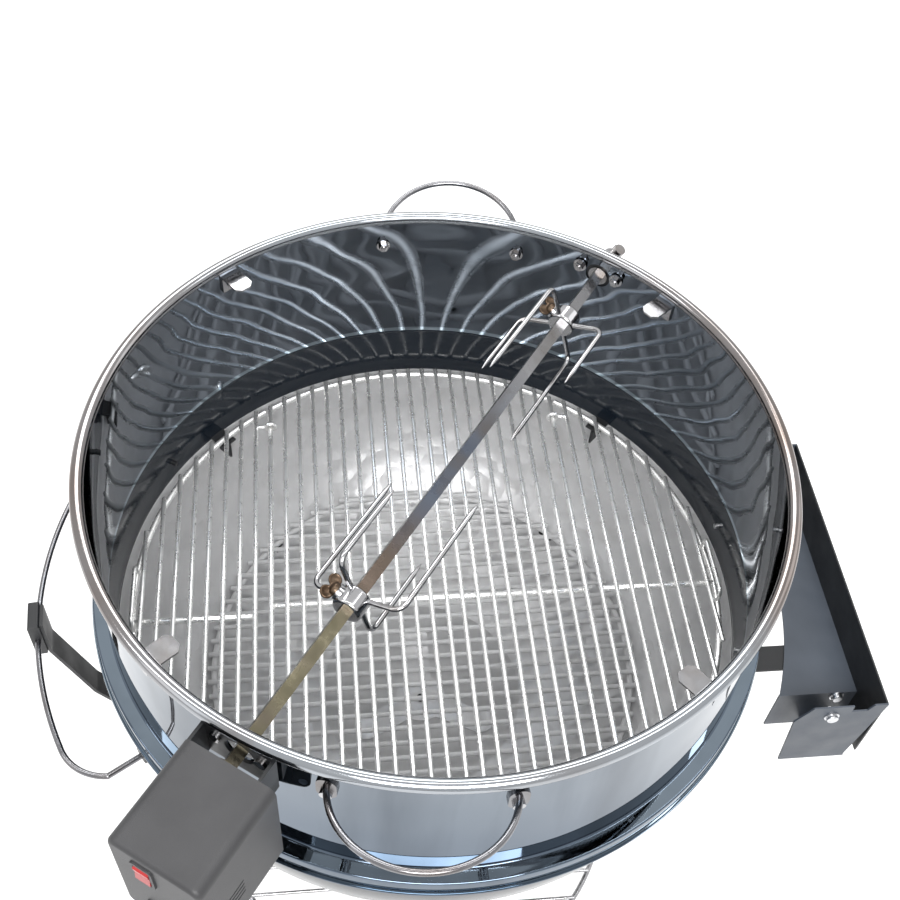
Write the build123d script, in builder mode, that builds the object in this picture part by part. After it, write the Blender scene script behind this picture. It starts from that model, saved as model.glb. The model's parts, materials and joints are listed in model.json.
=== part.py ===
from build123d import *
import math
import os

os.makedirs("parts", exist_ok=True)

# Charcoal kettle grill with a rotisserie ring.  Millimetres, +Z up, the origin on the floor
# under the kettle's axis.  +Y runs along the cooking grate's bars to the back (wheel side),
# +X points to the side tray.

# ---------------------------------------------------------------- heights above the floor
lip_z = 700.0                # top of the bowl's rolled lip
shoulder_z = lip_z - 45.0    # where the bowl's straight wall meets its curve
cooking_z = shoulder_z - 3.0     # top of the cooking grate's bars
charcoal_z = cooking_z - 132.0   # top of the charcoal grate's bars
ring_height = 155.0          # ring's top above the lip
spit_drop = 30.0             # spit axis below the ring's top
rack_z = 205.0               # bottom rack

# ---------------------------------------------------------------- bowl
bowl_radius = 286.0
bowl_wall = 1.5
bowl_depth = 230.0           # from the shoulder to the bottom
bowl_low = shoulder_z - bowl_depth
side_arc = bowl_radius - 96.0    # radius of the curve under the shoulder
support_width = 16.0
support_sheet = 2.0
support_leg = 22.0
support_turn = 45.0          # azimuth of the first of the four grate supports
lip_bead = 4.5
vent_radius = 55.0           # centre of each vent slot
vent_length = 56.0
vent_width = 22.0
vent_count = 3

# ---------------------------------------------------------------- clearances
run_gap = 0.05               # radial clearance of a turning fit
free_gap = 0.3               # between neighbours that move past each other
seat_gap = 0.1               # between seated pieces of one body
bolt_gap = 0.1               # radial clearance of a bolt in its hole

# ---------------------------------------------------------------- rotisserie ring
ring_wall = 1.2
ring_radius = bowl_radius - 1.8  # outside of the wall
ring_bead = 5.5
ring_bead_centre = ring_radius + 0.3
skirt_radius = bowl_radius + 11.0
skirt_depth = 17.0
skirt_flare = 2.5
tab_azimuth = 37.6
tab_drop = 15.0
tab_reach = 26.0
tab_width = 18.0
tab_sheet = 2.0
tab_leg = 18.0
rivet_radius = 2.4
handle_azimuth = 82.6
handle_half_angle = 13.15
handle_drop = 36.5
handle_wire = 2.5
handle_slope = 15.0
handle_eye_rise = 11.0       # wire's end above the bolt
handle_foot_radius = 7.5
handle_foot = 3.2
bolt_radius = 2.5
nut_radius = 4.6
nut_height = 4.0
washer_radius = 6.5
washer = 1.0

# ---------------------------------------------------------------- spit and forks
spit_azimuth = 54.5
spit_offset = 9.24           # how far the spit passes from the kettle's axis
spit_roll = 25.6
spit_side = 9.5
spit_far = bowl_radius + 42.0
spit_near = bowl_radius + 40.0
bushing_radius = 9.5
bushing_inner = bowl_radius - 4.0
bushing_flange = bowl_radius + 14.0
bushing_flange_radius = 13.0
bushing_sheet = 3.0
collar_length = 12.0
fork_centres = (140.0 - bowl_radius, bowl_radius - 75.0)
hub_radius = 12.5
hub_length = 18.0
hub_boss_radius = 7.0
hub_boss_height = 14.5
prong_wire = 2.25
prong_radius = 42.0
prong_bend = 9.0
prong_long = 117.0
prong_short = 76.0
prong_setback = 5.5          # wire's distance from the hub's centre towards the prongs
prong_point = 14.0
screw_radius = 2.5
screw_wing_radius = 5.5
screw_wing_sheet = 2.6
screw_wing_offset = 6.0

# ---------------------------------------------------------------- motor
module_mm = 1.0
gear_teeth = 48
pinion_teeth = 12
addendum = 0.75
dedendum = 1.1
backlash = 0.25
gear_width = 8.0
gear_face = bowl_radius + 34.0   # the gears' faces, measured along the spit from the axis
bracket_sheet = 2.5
bracket_half_width = 30.0
bracket_near = ring_radius + 0.1
bracket_bolt_x = 19.0
bracket_bolt_y = 5.0
rear_plate = 4.0
rear_low = 22.0
rear_high = 16.0
front_low = 25.0
front_high = 16.0
motor_plate_low = 70.0
motor_plate_far = bowl_radius + 20.0
cover_sheet = 3.0
cover_head = 4.1
cover_head_height = 1.5
housing_top = 29.0
housing_bottom = 78.0
housing_length = 78.0
housing_wall = 2.5
housing_corner = 8.0
housing_left = 28.0
housing_right = 46.0
socket_radius = 11.0
stub_radius = 4.0
motor_radius = 17.0
motor_length = 42.0
motor_shaft = 2.0
rocker_radius = 11.0
rocker_width = 12.0
rocker_depth = 5.0           # pivot behind the housing's face
rocker_proud = 1.6
rocker_throw = 16.0
rocker_at = (0.0, 6.0)
inlet_at = (-9.0, -58.0)
inlet_size = (24.0, 18.0)
inlet_depth = 16.0
frame_plate = 3.0

# ---------------------------------------------------------------- grates
grate_radius = bowl_radius - 12.4
bar_pitch = 14.6
bar_radius = 2.25
rim_wire = 3.0
weld = 0.4                   # how far welded wires sink into each other
hinge_bar = 10               # bar number, from the middle, that is the hinge rod
hinge_rod = 2.5
last_bar = int(grate_radius / bar_pitch)
loop_wire = 2.0
loop_y = grate_radius - 73.6
cross_centre_y = -11.0
cross_left_y = -21.0
cross_right_y = -10.0
lift_half_angle = 6.5
lift_height = 16.0
charcoal_radius = bowl_radius - 70.0
charcoal_pitch = 15.5
charcoal_bar = 2.5

# ---------------------------------------------------------------- liner, damper, ash catcher
liner_sheet = 0.6
liner_top = lip_z - 60.0
liner_hole = 104.0
blade_sheet = 1.0
damper_shaft = 4.0
lever_azimuth = 300.0
lever_length = 172.0
lever_width = 12.0
lever_sheet = 3.0
lever_z = bowl_low - 20.0
lever_window = 76.0
collar_radius = 100.0
collar_wall = 1.2
collar_bottom = bowl_low - 33.0
bucket_top = bowl_low - 25.0
bucket_bottom = bowl_low - 133.0
bucket_wall = 1.2
bucket_handle_z = bowl_low - 75.0
bucket_handle_half = 38.0
bucket_handle_out = 44.0
bucket_handle_wire = 3.0
bucket_handle_bend = 10.0

# ---------------------------------------------------------------- legs and wheels
leg_radius = 12.7
leg_wall = 1.5
leg_top_r = bowl_radius - 101.0
leg_slope = 12.2
socket_wall = 2.0
socket_length = 62.0
foot_radius = 19.0
foot_height = 34.0
foot_base = 5.0
wheel_radius = 76.0
wheel_width = 26.0
tyre_depth = 13.0
axle_radius = 5.0
wheel_gap = 4.0
cap_radius = 15.0
cap_length = 8.0
axle_cover = 14.0
rack_wire = 3.0
rack_bar = 2.0
rack_pitch = 30.0

# ---------------------------------------------------------------- lid holder and side tray
holder_radius = bowl_radius + 64.0
holder_z = shoulder_z + 5.0
holder_half_angle = 32.0
holder_wire = 2.5
holder_inset = 45.0          # where the hoop's ends leave its round run, before the clamps
holder_bend_angle = 7.0
clamp_sheet = 3.0
clamp_half = 13.0
clip_azimuth = 185.0
clip_height = 44.0
clip_depth = 10.0
clip_width = 26.0
arm_width = 22.0
arm_sheet = 3.0
arm_foot_z = shoulder_z - 148.0
arm_bend = 15.0
tray_x = bowl_radius + 85.0
tray_middle = -32.0
tray_half = 142.0
tray_sheet = 1.5
tray_top = lip_z + 1.0
tray_bottom = lip_z - 88.0
tray_plate_z = shoulder_z
tray_plate_half = 105.0
tray_arc = bowl_radius + 42.0
tray_flap = 54.0
end_plate_inner = bowl_radius + 8.0
plate_screw_x = tray_x - 19.0
plate_screw_drop = 6.0
end_screw_x = tray_x - 46.0
end_screw_drop = 15.0
notch_x = tray_x - 30.0
panel_flange = 9.0
tray_screw_length = 8.0
notch_width = 14.0
notch_depth = 9.0
end_tab = 30.0
end_taper = 12.0
hanger_azimuths = (-20.0, 8.0)
hanger_top = lip_z - 24.0
hanger_drop = 34.0
hanger_width = 24.0
hanger_sheet = 3.0
hanger_bolt_drop = 8.0

# ---------------------------------------------------------------- worked-out places
ring_top = lip_z + ring_height
spit_z = ring_top - spit_drop
ring_inner = ring_radius - ring_wall
bottom_arc = ((bowl_radius - side_arc) ** 2 + bowl_depth**2 - side_arc**2) / (
    2 * (bowl_depth - side_arc)
)
side_centre = (bowl_radius - side_arc, shoulder_z)
bottom_centre = (0.0, shoulder_z - bowl_depth + bottom_arc)
arc_break = math.degrees(math.atan2(side_centre[1] - bottom_centre[1], side_centre[0]))
gear_centres = module_mm * (gear_teeth + pinion_teeth) / 2
hinge_x = hinge_bar * bar_pitch
bar_z = cooking_z - bar_radius
rim_z = bar_z - bar_radius - rim_wire + weld
rim_radius = grate_radius - rim_wire
hanger_bolt_z = hanger_top - hanger_bolt_drop


def along(azimuth):
    """Unit vector that points out from the axis at this azimuth."""
    return Vector(math.cos(math.radians(azimuth)), math.sin(math.radians(azimuth)), 0)


def wall_plane(azimuth, height, radius):
    """Plane on a round wall: x runs round the wall, y up, z outwards."""
    out = along(azimuth)
    return Plane(origin=out * radius + Vector(0, 0, height), x_dir=along(azimuth + 90), z_dir=out)


def upright_plane(azimuth):
    """Upright plane through the axis: x outwards, y up."""
    return Plane(origin=(0, 0, 0), x_dir=along(azimuth), z_dir=along(azimuth - 90))


def finish(builder, name):
    """Label a finished sub-part and write it."""
    builder.part.label = name
    export_step(builder.part, f"parts/{name}.step")


def wall_height(arc_offset, radius):
    """Height of the bowl's curve, moved inwards by arc_offset, at a distance from the axis."""
    bottom = bottom_arc - arc_offset
    side = side_arc - arc_offset
    if radius < bottom * math.cos(math.radians(arc_break)):
        return bottom_centre[1] - math.sqrt(bottom**2 - radius**2)
    return shoulder_z - math.sqrt(side**2 - (radius - side_centre[0]) ** 2)


def wall_reach(arc_offset, height):
    """Distance from the axis of the bowl's curve, moved inwards by arc_offset, at a height."""
    side = side_arc - arc_offset
    drop = shoulder_z - height
    if drop < -side * math.sin(math.radians(arc_break)):
        return side_centre[0] + math.sqrt(side**2 - drop**2)
    bottom = bottom_arc - arc_offset
    return math.sqrt(bottom**2 - (bottom_centre[1] - height) ** 2)


def bowl_band(outer, inner):
    """Outline between two copies of the bowl's curve, in the sketch plane (x out, y up)."""
    top = (bowl_radius - outer, shoulder_z)
    with BuildLine() as band:
        CenterArc(side_centre, side_arc - outer, arc_break, -arc_break)
        CenterArc(bottom_centre, bottom_arc - outer, -90, 90 + arc_break)
        CenterArc(side_centre, side_arc - inner, arc_break, -arc_break)
        CenterArc(bottom_centre, bottom_arc - inner, -90, 90 + arc_break)
        Line(top, (bowl_radius - inner, shoulder_z))
        Line(
            (0, bottom_centre[1] - bottom_arc + outer),
            (0, bottom_centre[1] - bottom_arc + inner),
        )
    return band.line.edges()


def bowl_fill(grow):
    """Outline of all that lies inside the bowl's outer skin, moved outwards by grow."""
    with BuildLine() as fill:
        CenterArc(side_centre, side_arc + grow, arc_break, -arc_break)
        CenterArc(bottom_centre, bottom_arc + grow, -90, 90 + arc_break)
        Polyline(
            (0, bottom_centre[1] - bottom_arc - grow),
            (0, lip_z),
            (bowl_radius + grow, lip_z),
            (bowl_radius + grow, shoulder_z),
        )
    return fill.line.edges()


spit_origin = along(spit_azimuth + 90) * -spit_offset + Vector(0, 0, spit_z)
spit_axis = along(spit_azimuth)
# Upright frame of the spit: x to its left, y up, z along it to the far side.
spit_frame = Plane(origin=spit_origin, x_dir=along(spit_azimuth + 90), z_dir=spit_axis)
roll = math.radians(spit_roll)
# The same frame turned with the square bar, so that x is the normal of one flat.
bar_frame = Plane(
    origin=spit_origin,
    x_dir=along(spit_azimuth + 90) * math.cos(roll) + Vector(0, 0, 1) * math.sin(roll),
    z_dir=spit_axis,
)

# ================================================================ bowl
with BuildPart() as bowl:
    with BuildSketch(Plane.XZ):
        make_face(bowl_band(0, bowl_wall))
        with Locations((bowl_radius - bowl_wall / 2, (shoulder_z + lip_z - lip_bead) / 2)):
            Rectangle(bowl_wall, lip_z - lip_bead - shoulder_z)
        with Locations((bowl_radius + lip_bead - bowl_wall, lip_z - lip_bead)):
            Circle(lip_bead)
    revolve(axis=Axis.Z)
    with BuildSketch(Plane.XY.offset(bottom_centre[1] - bottom_arc - bowl_wall)):
        Circle(damper_shaft + run_gap)
        with PolarLocations(vent_radius, vent_count, start_angle=90):
            SlotOverall(vent_length, vent_width)
    extrude(amount=bowl_depth / 4, mode=Mode.SUBTRACT)
    with Locations(
        *[wall_plane(180 + side * holder_half_angle, holder_z, bowl_radius) for side in (-1, 1)]
    ):
        Hole(bolt_radius + bolt_gap, depth=2 * bowl_wall)
    with Locations(*[wall_plane(a, hanger_bolt_z, bowl_radius) for a in hanger_azimuths]):
        Hole(bolt_radius + bolt_gap, depth=2 * bowl_wall)
finish(bowl, "bowl")

# All that lies inside the bowl's outer skin, for pieces that end on it.
with BuildPart() as bowl_core:
    with BuildSketch(Plane.XZ):
        make_face(bowl_fill(seat_gap))
    revolve(axis=Axis.Z)

# ---------------------------------------------------------------- grate supports
cooking_support_z = rim_z - rim_wire
charcoal_support_z = charcoal_z - 2 * charcoal_bar - 2 * rim_wire + weld
support_azimuths = [support_turn + 90 * k for k in range(4)]
with BuildPart() as inner_space:
    with BuildSketch(Plane.XZ):
        make_face(bowl_fill(-bowl_wall - seat_gap))
    revolve(axis=Axis.Z)
with BuildPart() as grate_supports:
    for azimuth in support_azimuths:
        for top, tip in (
            (cooking_support_z, rim_radius - 2 * rim_wire),
            (charcoal_support_z, charcoal_radius - 3 * rim_wire),
        ):
            length = bowl_radius - tip
            with Locations(upright_plane(azimuth)):
                with Locations((tip + length / 2, top - support_sheet / 2)):
                    Box(length, support_sheet, support_width)
                with Locations((tip + length / 2, top - support_leg / 2)):
                    Box(length, support_leg, support_sheet)
    add(inner_space.part, mode=Mode.INTERSECT)
finish(grate_supports, "grate_supports")

# ---------------------------------------------------------------- drip liner
with BuildPart() as drip_liner:
    with BuildSketch(Plane.XZ):
        make_face(bowl_band(bowl_wall + free_gap, bowl_wall + free_gap + liner_sheet))
    revolve(axis=Axis.Z)
    with BuildSketch(Plane.XY.offset(liner_top)):
        Circle(bowl_radius)
    extrude(amount=bowl_depth, mode=Mode.SUBTRACT)
    with BuildSketch(Plane.XY.offset(bottom_centre[1] - bottom_arc)):
        Circle(liner_hole)
    extrude(amount=bowl_depth / 4, mode=Mode.SUBTRACT)
    # Windows that the grate supports reach through.
    for azimuth in support_azimuths:
        for top in (cooking_support_z, charcoal_support_z):
            with Locations(wall_plane(azimuth, top - support_leg / 2, wall_reach(0, top))):
                Box(
                    support_width + 4 * free_gap,
                    support_leg + 10 * free_gap,
                    4 * support_leg,
                    mode=Mode.SUBTRACT,
                )
finish(drip_liner, "drip_liner")

# ================================================================ grates
def half_chord(radius, distance):
    """Half the chord of a circle at a distance from its centre."""
    return math.sqrt(radius**2 - distance**2)


def rod(start, end, radius):
    """A round bar between two points, in the open part."""
    direction = Vector(*end) - Vector(*start)
    with Locations(Plane(origin=start, z_dir=direction)):
        return Cylinder(
            radius, direction.length, align=(Align.CENTER, Align.CENTER, Align.MIN),
            mode=Mode.PRIVATE,
        )


def rim_arc(start_angle, arc_size):
    """A stretch of the grate's round rim wire."""
    with BuildPart(mode=Mode.PRIVATE) as arc_wire:
        with BuildSketch(upright_plane(start_angle)):
            with Locations((rim_radius, rim_z)):
                Circle(rim_wire)
        revolve(axis=Axis.Z, revolution_arc=arc_size)
    return arc_wire.part


centre_edge = math.degrees(math.asin((hinge_x + hinge_rod / 2) / rim_radius))
flap_edge = math.degrees(math.asin((hinge_x + hinge_rod + rim_wire + weld) / rim_radius))
cross_wire = rim_wire
cross_z = bar_z - bar_radius - cross_wire + weld

with BuildPart() as cooking_grate_centre:
    for k in range(-hinge_bar + 1, hinge_bar):
        x = k * bar_pitch
        reach = half_chord(grate_radius, x)
        add(rod((x, -reach, bar_z), (x, reach, bar_z), bar_radius))
    for side in (-1, 1):
        reach = half_chord(rim_radius, hinge_x)
        add(rod((side * hinge_x, -reach, bar_z), (side * hinge_x, reach, bar_z), hinge_rod))
        add(rim_arc(side * 90 - centre_edge, 2 * centre_edge))
    add(
        rod(
            (-hinge_x, cross_centre_y, cross_z),
            (hinge_x, cross_centre_y, cross_z),
            cross_wire,
        )
    )
finish(cooking_grate_centre, "cooking_grate_centre")


def grate_flap(side, cross_y):
    """One folding flap: bars, rim, hinge loops, crossbar and lifting loop."""
    middle = 0 if side > 0 else 180
    with BuildPart() as flap:
        for k in range(hinge_bar + 1, last_bar + 1):
            x = side * k * bar_pitch
            reach = half_chord(grate_radius, x)
            add(rod((x, -reach, bar_z), (x, reach, bar_z), bar_radius))
        add(rim_arc(middle - 90 + flap_edge, 180 - 2 * flap_edge))
        first = side * (hinge_bar + 1) * bar_pitch
        add(
            rod(
                (first, cross_y, cross_z),
                (side * half_chord(rim_radius, cross_y), cross_y, cross_z),
                cross_wire,
            )
        )
        loop_radius = hinge_rod + free_gap + loop_wire
        for y in (-loop_y, loop_y):
            with Locations(Plane(origin=(side * hinge_x, y, bar_z), z_dir=(0, 1, 0))):
                Torus(loop_radius, loop_wire)
            add(rod((side * (hinge_x + loop_radius), y, bar_z), (first, y, bar_z), loop_wire))
        ends = [along(middle + turn * lift_half_angle) * rim_radius for turn in (-1, 1)]
        crown = rim_z + lift_height
        with BuildLine():
            FilletPolyline(
                ends[0] + Vector(0, 0, rim_z),
                ends[0] + Vector(0, 0, crown),
                ends[1] + Vector(0, 0, crown),
                ends[1] + Vector(0, 0, rim_z),
                radius=2 * rim_wire,
            )
        with BuildSketch(Plane(origin=ends[0] + Vector(0, 0, rim_z), z_dir=(0, 0, 1))):
            Circle(loop_wire)
        sweep()
    return flap


flap_left = grate_flap(-1, cross_left_y)
finish(flap_left, "grate_flap_left")
flap_right = grate_flap(1, cross_right_y)
finish(flap_right, "grate_flap_right")

# ---------------------------------------------------------------- charcoal grate
with BuildPart() as charcoal_grate:
    charcoal_bar_z = charcoal_z - charcoal_bar
    charcoal_rim_z = charcoal_bar_z - charcoal_bar - rim_wire + weld
    for k in range(-int(charcoal_radius / charcoal_pitch), int(charcoal_radius / charcoal_pitch) + 1):
        y = k * charcoal_pitch
        reach = half_chord(charcoal_radius, y)
        add(rod((-reach, y, charcoal_bar_z), (reach, y, charcoal_bar_z), charcoal_bar))
    with BuildSketch(Plane.XZ):
        with Locations((charcoal_radius - 2 * rim_wire, charcoal_rim_z)):
            Circle(rim_wire)
    revolve(axis=Axis.Z)
finish(charcoal_grate, "charcoal_grate")

# ================================================================ damper and ash catcher
with BuildPart() as damper_blades:
    with BuildSketch(Plane.XZ):
        make_face(bowl_band(bowl_wall + free_gap, bowl_wall + free_gap + blade_sheet))
    revolve(axis=Axis.Z)
    with BuildSketch(Plane.XY.offset(bottom_centre[1] - bottom_arc)):
        Circle(vent_radius - vent_length / 2 - free_gap)
        with PolarLocations(vent_radius - vent_width / 2, vent_count, start_angle=90):
            SlotOverall(vent_length + vent_width, vent_width + 4)
        Circle(damper_shaft, mode=Mode.SUBTRACT)
    extrude(amount=bowl_depth / 4, mode=Mode.INTERSECT)
finish(damper_blades, "damper_blades")

shaft_top = wall_height(bowl_wall + free_gap + blade_sheet, 0) + 3
with BuildPart() as damper_lever:
    with BuildSketch(Plane.XY.offset(lever_z)):
        with Locations(Rotation(0, 0, lever_azimuth)):
            with Locations((lever_length / 2, 0)):
                SlotOverall(lever_length + lever_width, lever_width)
    extrude(amount=lever_sheet)
    with Locations((0, 0, lever_z)):
        Cylinder(
            damper_shaft, shaft_top - lever_z, align=(Align.CENTER, Align.CENTER, Align.MIN)
        )
    # Grip at the lever's free end.
    with Locations(along(lever_azimuth) * lever_length + Vector(0, 0, lever_z + lever_sheet / 2)):
        Cylinder(lever_width, 3 * lever_sheet)
    flats = faces().filter_by(Axis.Z).sort_by(Axis.Z).group_by(SortBy.AREA)[-1]
    fillet(flats.edges(), lever_sheet / 3)
finish(damper_lever, "damper_lever")

with BuildPart() as ash_catcher_collar:
    with BuildSketch(Plane.XY.offset(collar_bottom)):
        Circle(collar_radius)
        Circle(collar_radius - collar_wall, mode=Mode.SUBTRACT)
    extrude(amount=bowl_depth / 3)
    add(bowl_core.part, mode=Mode.SUBTRACT)
    with BuildSketch(upright_plane(lever_azimuth - 30 - lever_window / 2)):
        with Locations((collar_radius, lever_z + lever_sheet / 2)):
            Rectangle(4 * collar_wall, 3 * lever_sheet)
    revolve(axis=Axis.Z, revolution_arc=lever_window + 60, mode=Mode.SUBTRACT)
finish(ash_catcher_collar, "ash_catcher_collar")

bucket_inner = collar_radius + free_gap
with BuildPart() as ash_catcher:
    with BuildSketch(Plane.XY.offset(bucket_bottom)):
        Circle(bucket_inner + bucket_wall)
    extrude(amount=bucket_top - bucket_bottom)
    with BuildSketch(Plane.XY.offset(bucket_bottom + bucket_wall)):
        Circle(bucket_inner)
    extrude(amount=bucket_top, mode=Mode.SUBTRACT)
    with BuildSketch(Plane.XZ):
        with Locations((bucket_inner + 2 * bucket_wall, bucket_top - 2 * bucket_wall)):
            Circle(2 * bucket_wall)
        with Locations((bucket_inner - bucket_wall, bucket_top - 2 * bucket_wall)):
            Rectangle(2 * bucket_wall, 6 * bucket_wall, mode=Mode.SUBTRACT)
    revolve(axis=Axis.Z)
finish(ash_catcher, "ash_catcher")

with BuildPart() as ash_catcher_handle:
    wall_y = -half_chord(bucket_inner + bucket_wall, bucket_handle_half) - seat_gap
    with BuildLine():
        FilletPolyline(
            (-bucket_handle_half, wall_y, bucket_handle_z),
            (-bucket_handle_half, wall_y - bucket_handle_out, bucket_handle_z),
            (bucket_handle_half, wall_y - bucket_handle_out, bucket_handle_z),
            (bucket_handle_half, wall_y, bucket_handle_z),
            radius=bucket_handle_bend,
        )
    with BuildSketch(Plane(origin=(-bucket_handle_half, wall_y, bucket_handle_z), z_dir=(0, -1, 0))):
        Circle(bucket_handle_wire)
    sweep()
    with BuildSketch(Plane.XY):
        Circle(bucket_inner + bucket_wall + seat_gap)
    extrude(amount=bucket_top, mode=Mode.SUBTRACT)
finish(ash_catcher_handle, "ash_catcher_handle")

# ================================================================ legs, axle, wheels, rack
slope = math.radians(leg_slope)
leg_top_z = wall_height(0, leg_top_r)


def leg_axis_point(azimuth, height):
    """Point on a leg's axis at a height."""
    return along(azimuth) * (leg_top_r + (leg_top_z - height) * math.tan(slope)) + Vector(
        0, 0, height
    )


def leg_tube(azimuth, low, high, outer, inner=None):
    """Round tube on a leg's axis, cut level at both ends."""
    start = leg_axis_point(azimuth, low - 2 * outer)
    end = leg_axis_point(azimuth, high + 2 * outer)
    with BuildPart(mode=Mode.PRIVATE) as tube:
        with BuildSketch(Plane(origin=start, z_dir=end - start)):
            Circle(outer)
            if inner:
                Circle(inner, mode=Mode.SUBTRACT)
        extrude(amount=(end - start).length)
        middle = leg_axis_point(azimuth, (low + high) / 2)
        with Locations(middle):
            Box(bowl_radius, bowl_radius, high - low, mode=Mode.INTERSECT)
    return tube.part


axle_z = wheel_radius
rear_azimuths = (30, 150)
front_azimuth = 270
axle_y = leg_axis_point(rear_azimuths[0], axle_z).Y
leg_x = leg_axis_point(rear_azimuths[0], axle_z).X
tube_high = leg_top_z + leg_radius
with BuildPart() as leg_front:
    add(leg_tube(front_azimuth, foot_base, tube_high, leg_radius, leg_radius - leg_wall))
    add(bowl_core.part, mode=Mode.SUBTRACT)
finish(leg_front, "leg_front")

with BuildPart() as legs_rear:
    for azimuth in rear_azimuths:
        add(leg_tube(azimuth, axle_z - axle_cover, tube_high, leg_radius, leg_radius - leg_wall))
    add(bowl_core.part, mode=Mode.SUBTRACT)
    with Locations(Plane(origin=(0, axle_y, axle_z), z_dir=(1, 0, 0))):
        Cylinder(axle_radius + bolt_gap, 2 * bowl_radius, mode=Mode.SUBTRACT)
finish(legs_rear, "legs_rear")

with BuildPart() as leg_sockets:
    for azimuth in (front_azimuth, *rear_azimuths):
        add(
            leg_tube(
                azimuth,
                leg_top_z - socket_length,
                tube_high + 2 * socket_wall,
                leg_radius + socket_wall,
                leg_radius + seat_gap / 2,
            )
        )
    add(bowl_core.part, mode=Mode.SUBTRACT)
finish(leg_sockets, "leg_sockets")

with BuildPart() as front_foot:
    foot_at = leg_axis_point(front_azimuth, 0)
    with BuildSketch(Plane.XY):
        with Locations((foot_at.X, foot_at.Y)):
            Circle(foot_radius)
    extrude(amount=foot_height, taper=4)
    fillet(edges().group_by(Axis.Z)[-1], 2)
    add(
        leg_tube(front_azimuth, foot_base, foot_height + 10, leg_radius + seat_gap / 2),
        mode=Mode.SUBTRACT,
    )
finish(front_foot, "front_foot")

wheel_x = leg_x + leg_radius / math.cos(slope) + wheel_gap
with BuildPart() as axle:
    half = wheel_x + wheel_width + free_gap + cap_length - 2
    with Locations(Plane(origin=(-half, axle_y, axle_z), z_dir=(1, 0, 0))):
        Cylinder(axle_radius, 2 * half, align=(Align.CENTER, Align.CENTER, Align.MIN))
finish(axle, "axle")

with BuildPart() as hub_caps:
    for side in (-1, 1):
        at = (side * (wheel_x + wheel_width + free_gap), axle_y, axle_z)
        with BuildSketch(Plane(origin=at, z_dir=(side, 0, 0))):
            Circle(cap_radius)
        extrude(amount=cap_length)
    fillet(edges().filter_by(GeomType.CIRCLE).group_by(Axis.X)[0], 3)
    fillet(edges().filter_by(GeomType.CIRCLE).group_by(Axis.X)[-1], 3)
    with Locations(Plane(origin=(0, axle_y, axle_z), z_dir=(1, 0, 0))):
        Cylinder(axle_radius + seat_gap / 2, 2 * half, mode=Mode.SUBTRACT)
finish(hub_caps, "hub_caps")

tyre_inner = wheel_radius - tyre_depth
for side, wheel_name in ((-1, "left"), (1, "right")):
    face = Plane(origin=(side * wheel_x, axle_y, axle_z), z_dir=(side, 0, 0))
    with BuildPart() as tyre:
        with BuildSketch(face):
            Circle(wheel_radius)
            Circle(tyre_inner, mode=Mode.SUBTRACT)
        extrude(amount=wheel_width)
        fillet(edges().filter_by(GeomType.CIRCLE).sort_by(SortBy.RADIUS)[-2:], 5)
    finish(tyre, f"wheel_{wheel_name}_tyre")
    with BuildPart() as hub:
        with BuildSketch(face):
            Circle(tyre_inner)
            Circle(tyre_inner - 6, mode=Mode.SUBTRACT)
            Circle(axle_radius + 9)
        extrude(amount=wheel_width)
        with BuildSketch(face.offset(wheel_width / 2 - 3)):
            Circle(tyre_inner - 3)
            with PolarLocations((tyre_inner + axle_radius) / 2, 6):
                Circle(10, mode=Mode.SUBTRACT)
        extrude(amount=6)
        with BuildSketch(face):
            Circle(axle_radius + run_gap)
        extrude(amount=wheel_width, mode=Mode.SUBTRACT)
    finish(hub, f"wheel_{wheel_name}_hub")

with BuildPart() as bottom_rack:
    leg_inner = leg_axis_point(front_azimuth, rack_z).Y * -1 - leg_radius / math.cos(slope)
    rack_radius = leg_inner - rack_wire - 2 * seat_gap - rack_wire * math.tan(slope)
    with BuildSketch(Plane.XZ):
        with Locations((rack_radius, rack_z)):
            Circle(rack_wire)
    revolve(axis=Axis.Z)
    rack_bar_z = rack_z + rack_wire + rack_bar - weld
    for k in range(-int(rack_radius / rack_pitch), int(rack_radius / rack_pitch) + 1):
        y = k * rack_pitch
        reach = half_chord(rack_radius, y)
        if reach > rack_pitch:
            add(rod((-reach, y, rack_bar_z), (reach, y, rack_bar_z), rack_bar))
    add(rod((0, -rack_radius, rack_z), (0, rack_radius, rack_z), rack_wire))
finish(bottom_rack, "bottom_rack")

# ================================================================ lid holder (left side)
holder_ends = [along(180 + side * holder_half_angle) for side in (-1, 1)]
holder_foot = bowl_radius + clamp_sheet + seat_gap
with BuildPart() as lid_holder_wire:
    round_ends = [
        along(180 + side * (holder_half_angle - holder_bend_angle)) * holder_radius
        for side in (-1, 1)
    ]
    lift = Vector(0, 0, holder_z)
    with BuildLine() as hoop:
        ThreePointArc(
            round_ends[0] + lift, along(180) * holder_radius + lift, round_ends[1] + lift
        )
        for foot, start, side in zip(holder_ends, round_ends, (-1, 1)):
            tangent = along(180 + side * (holder_half_angle - holder_bend_angle + 90))
            TangentArc(
                start + lift,
                foot * (holder_radius - holder_inset / 2) + lift,
                tangent=tangent,
            )
            Line(
                foot * (holder_radius - holder_inset / 2) + lift,
                foot * holder_foot + lift,
            )
    with BuildSketch(Plane(origin=holder_ends[0] * holder_foot + lift, z_dir=holder_ends[0])):
        Circle(holder_wire)
    sweep(path=hoop.wires()[0], transition=Transition.ROUND)
finish(lid_holder_wire, "lid_holder_wire")

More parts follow.
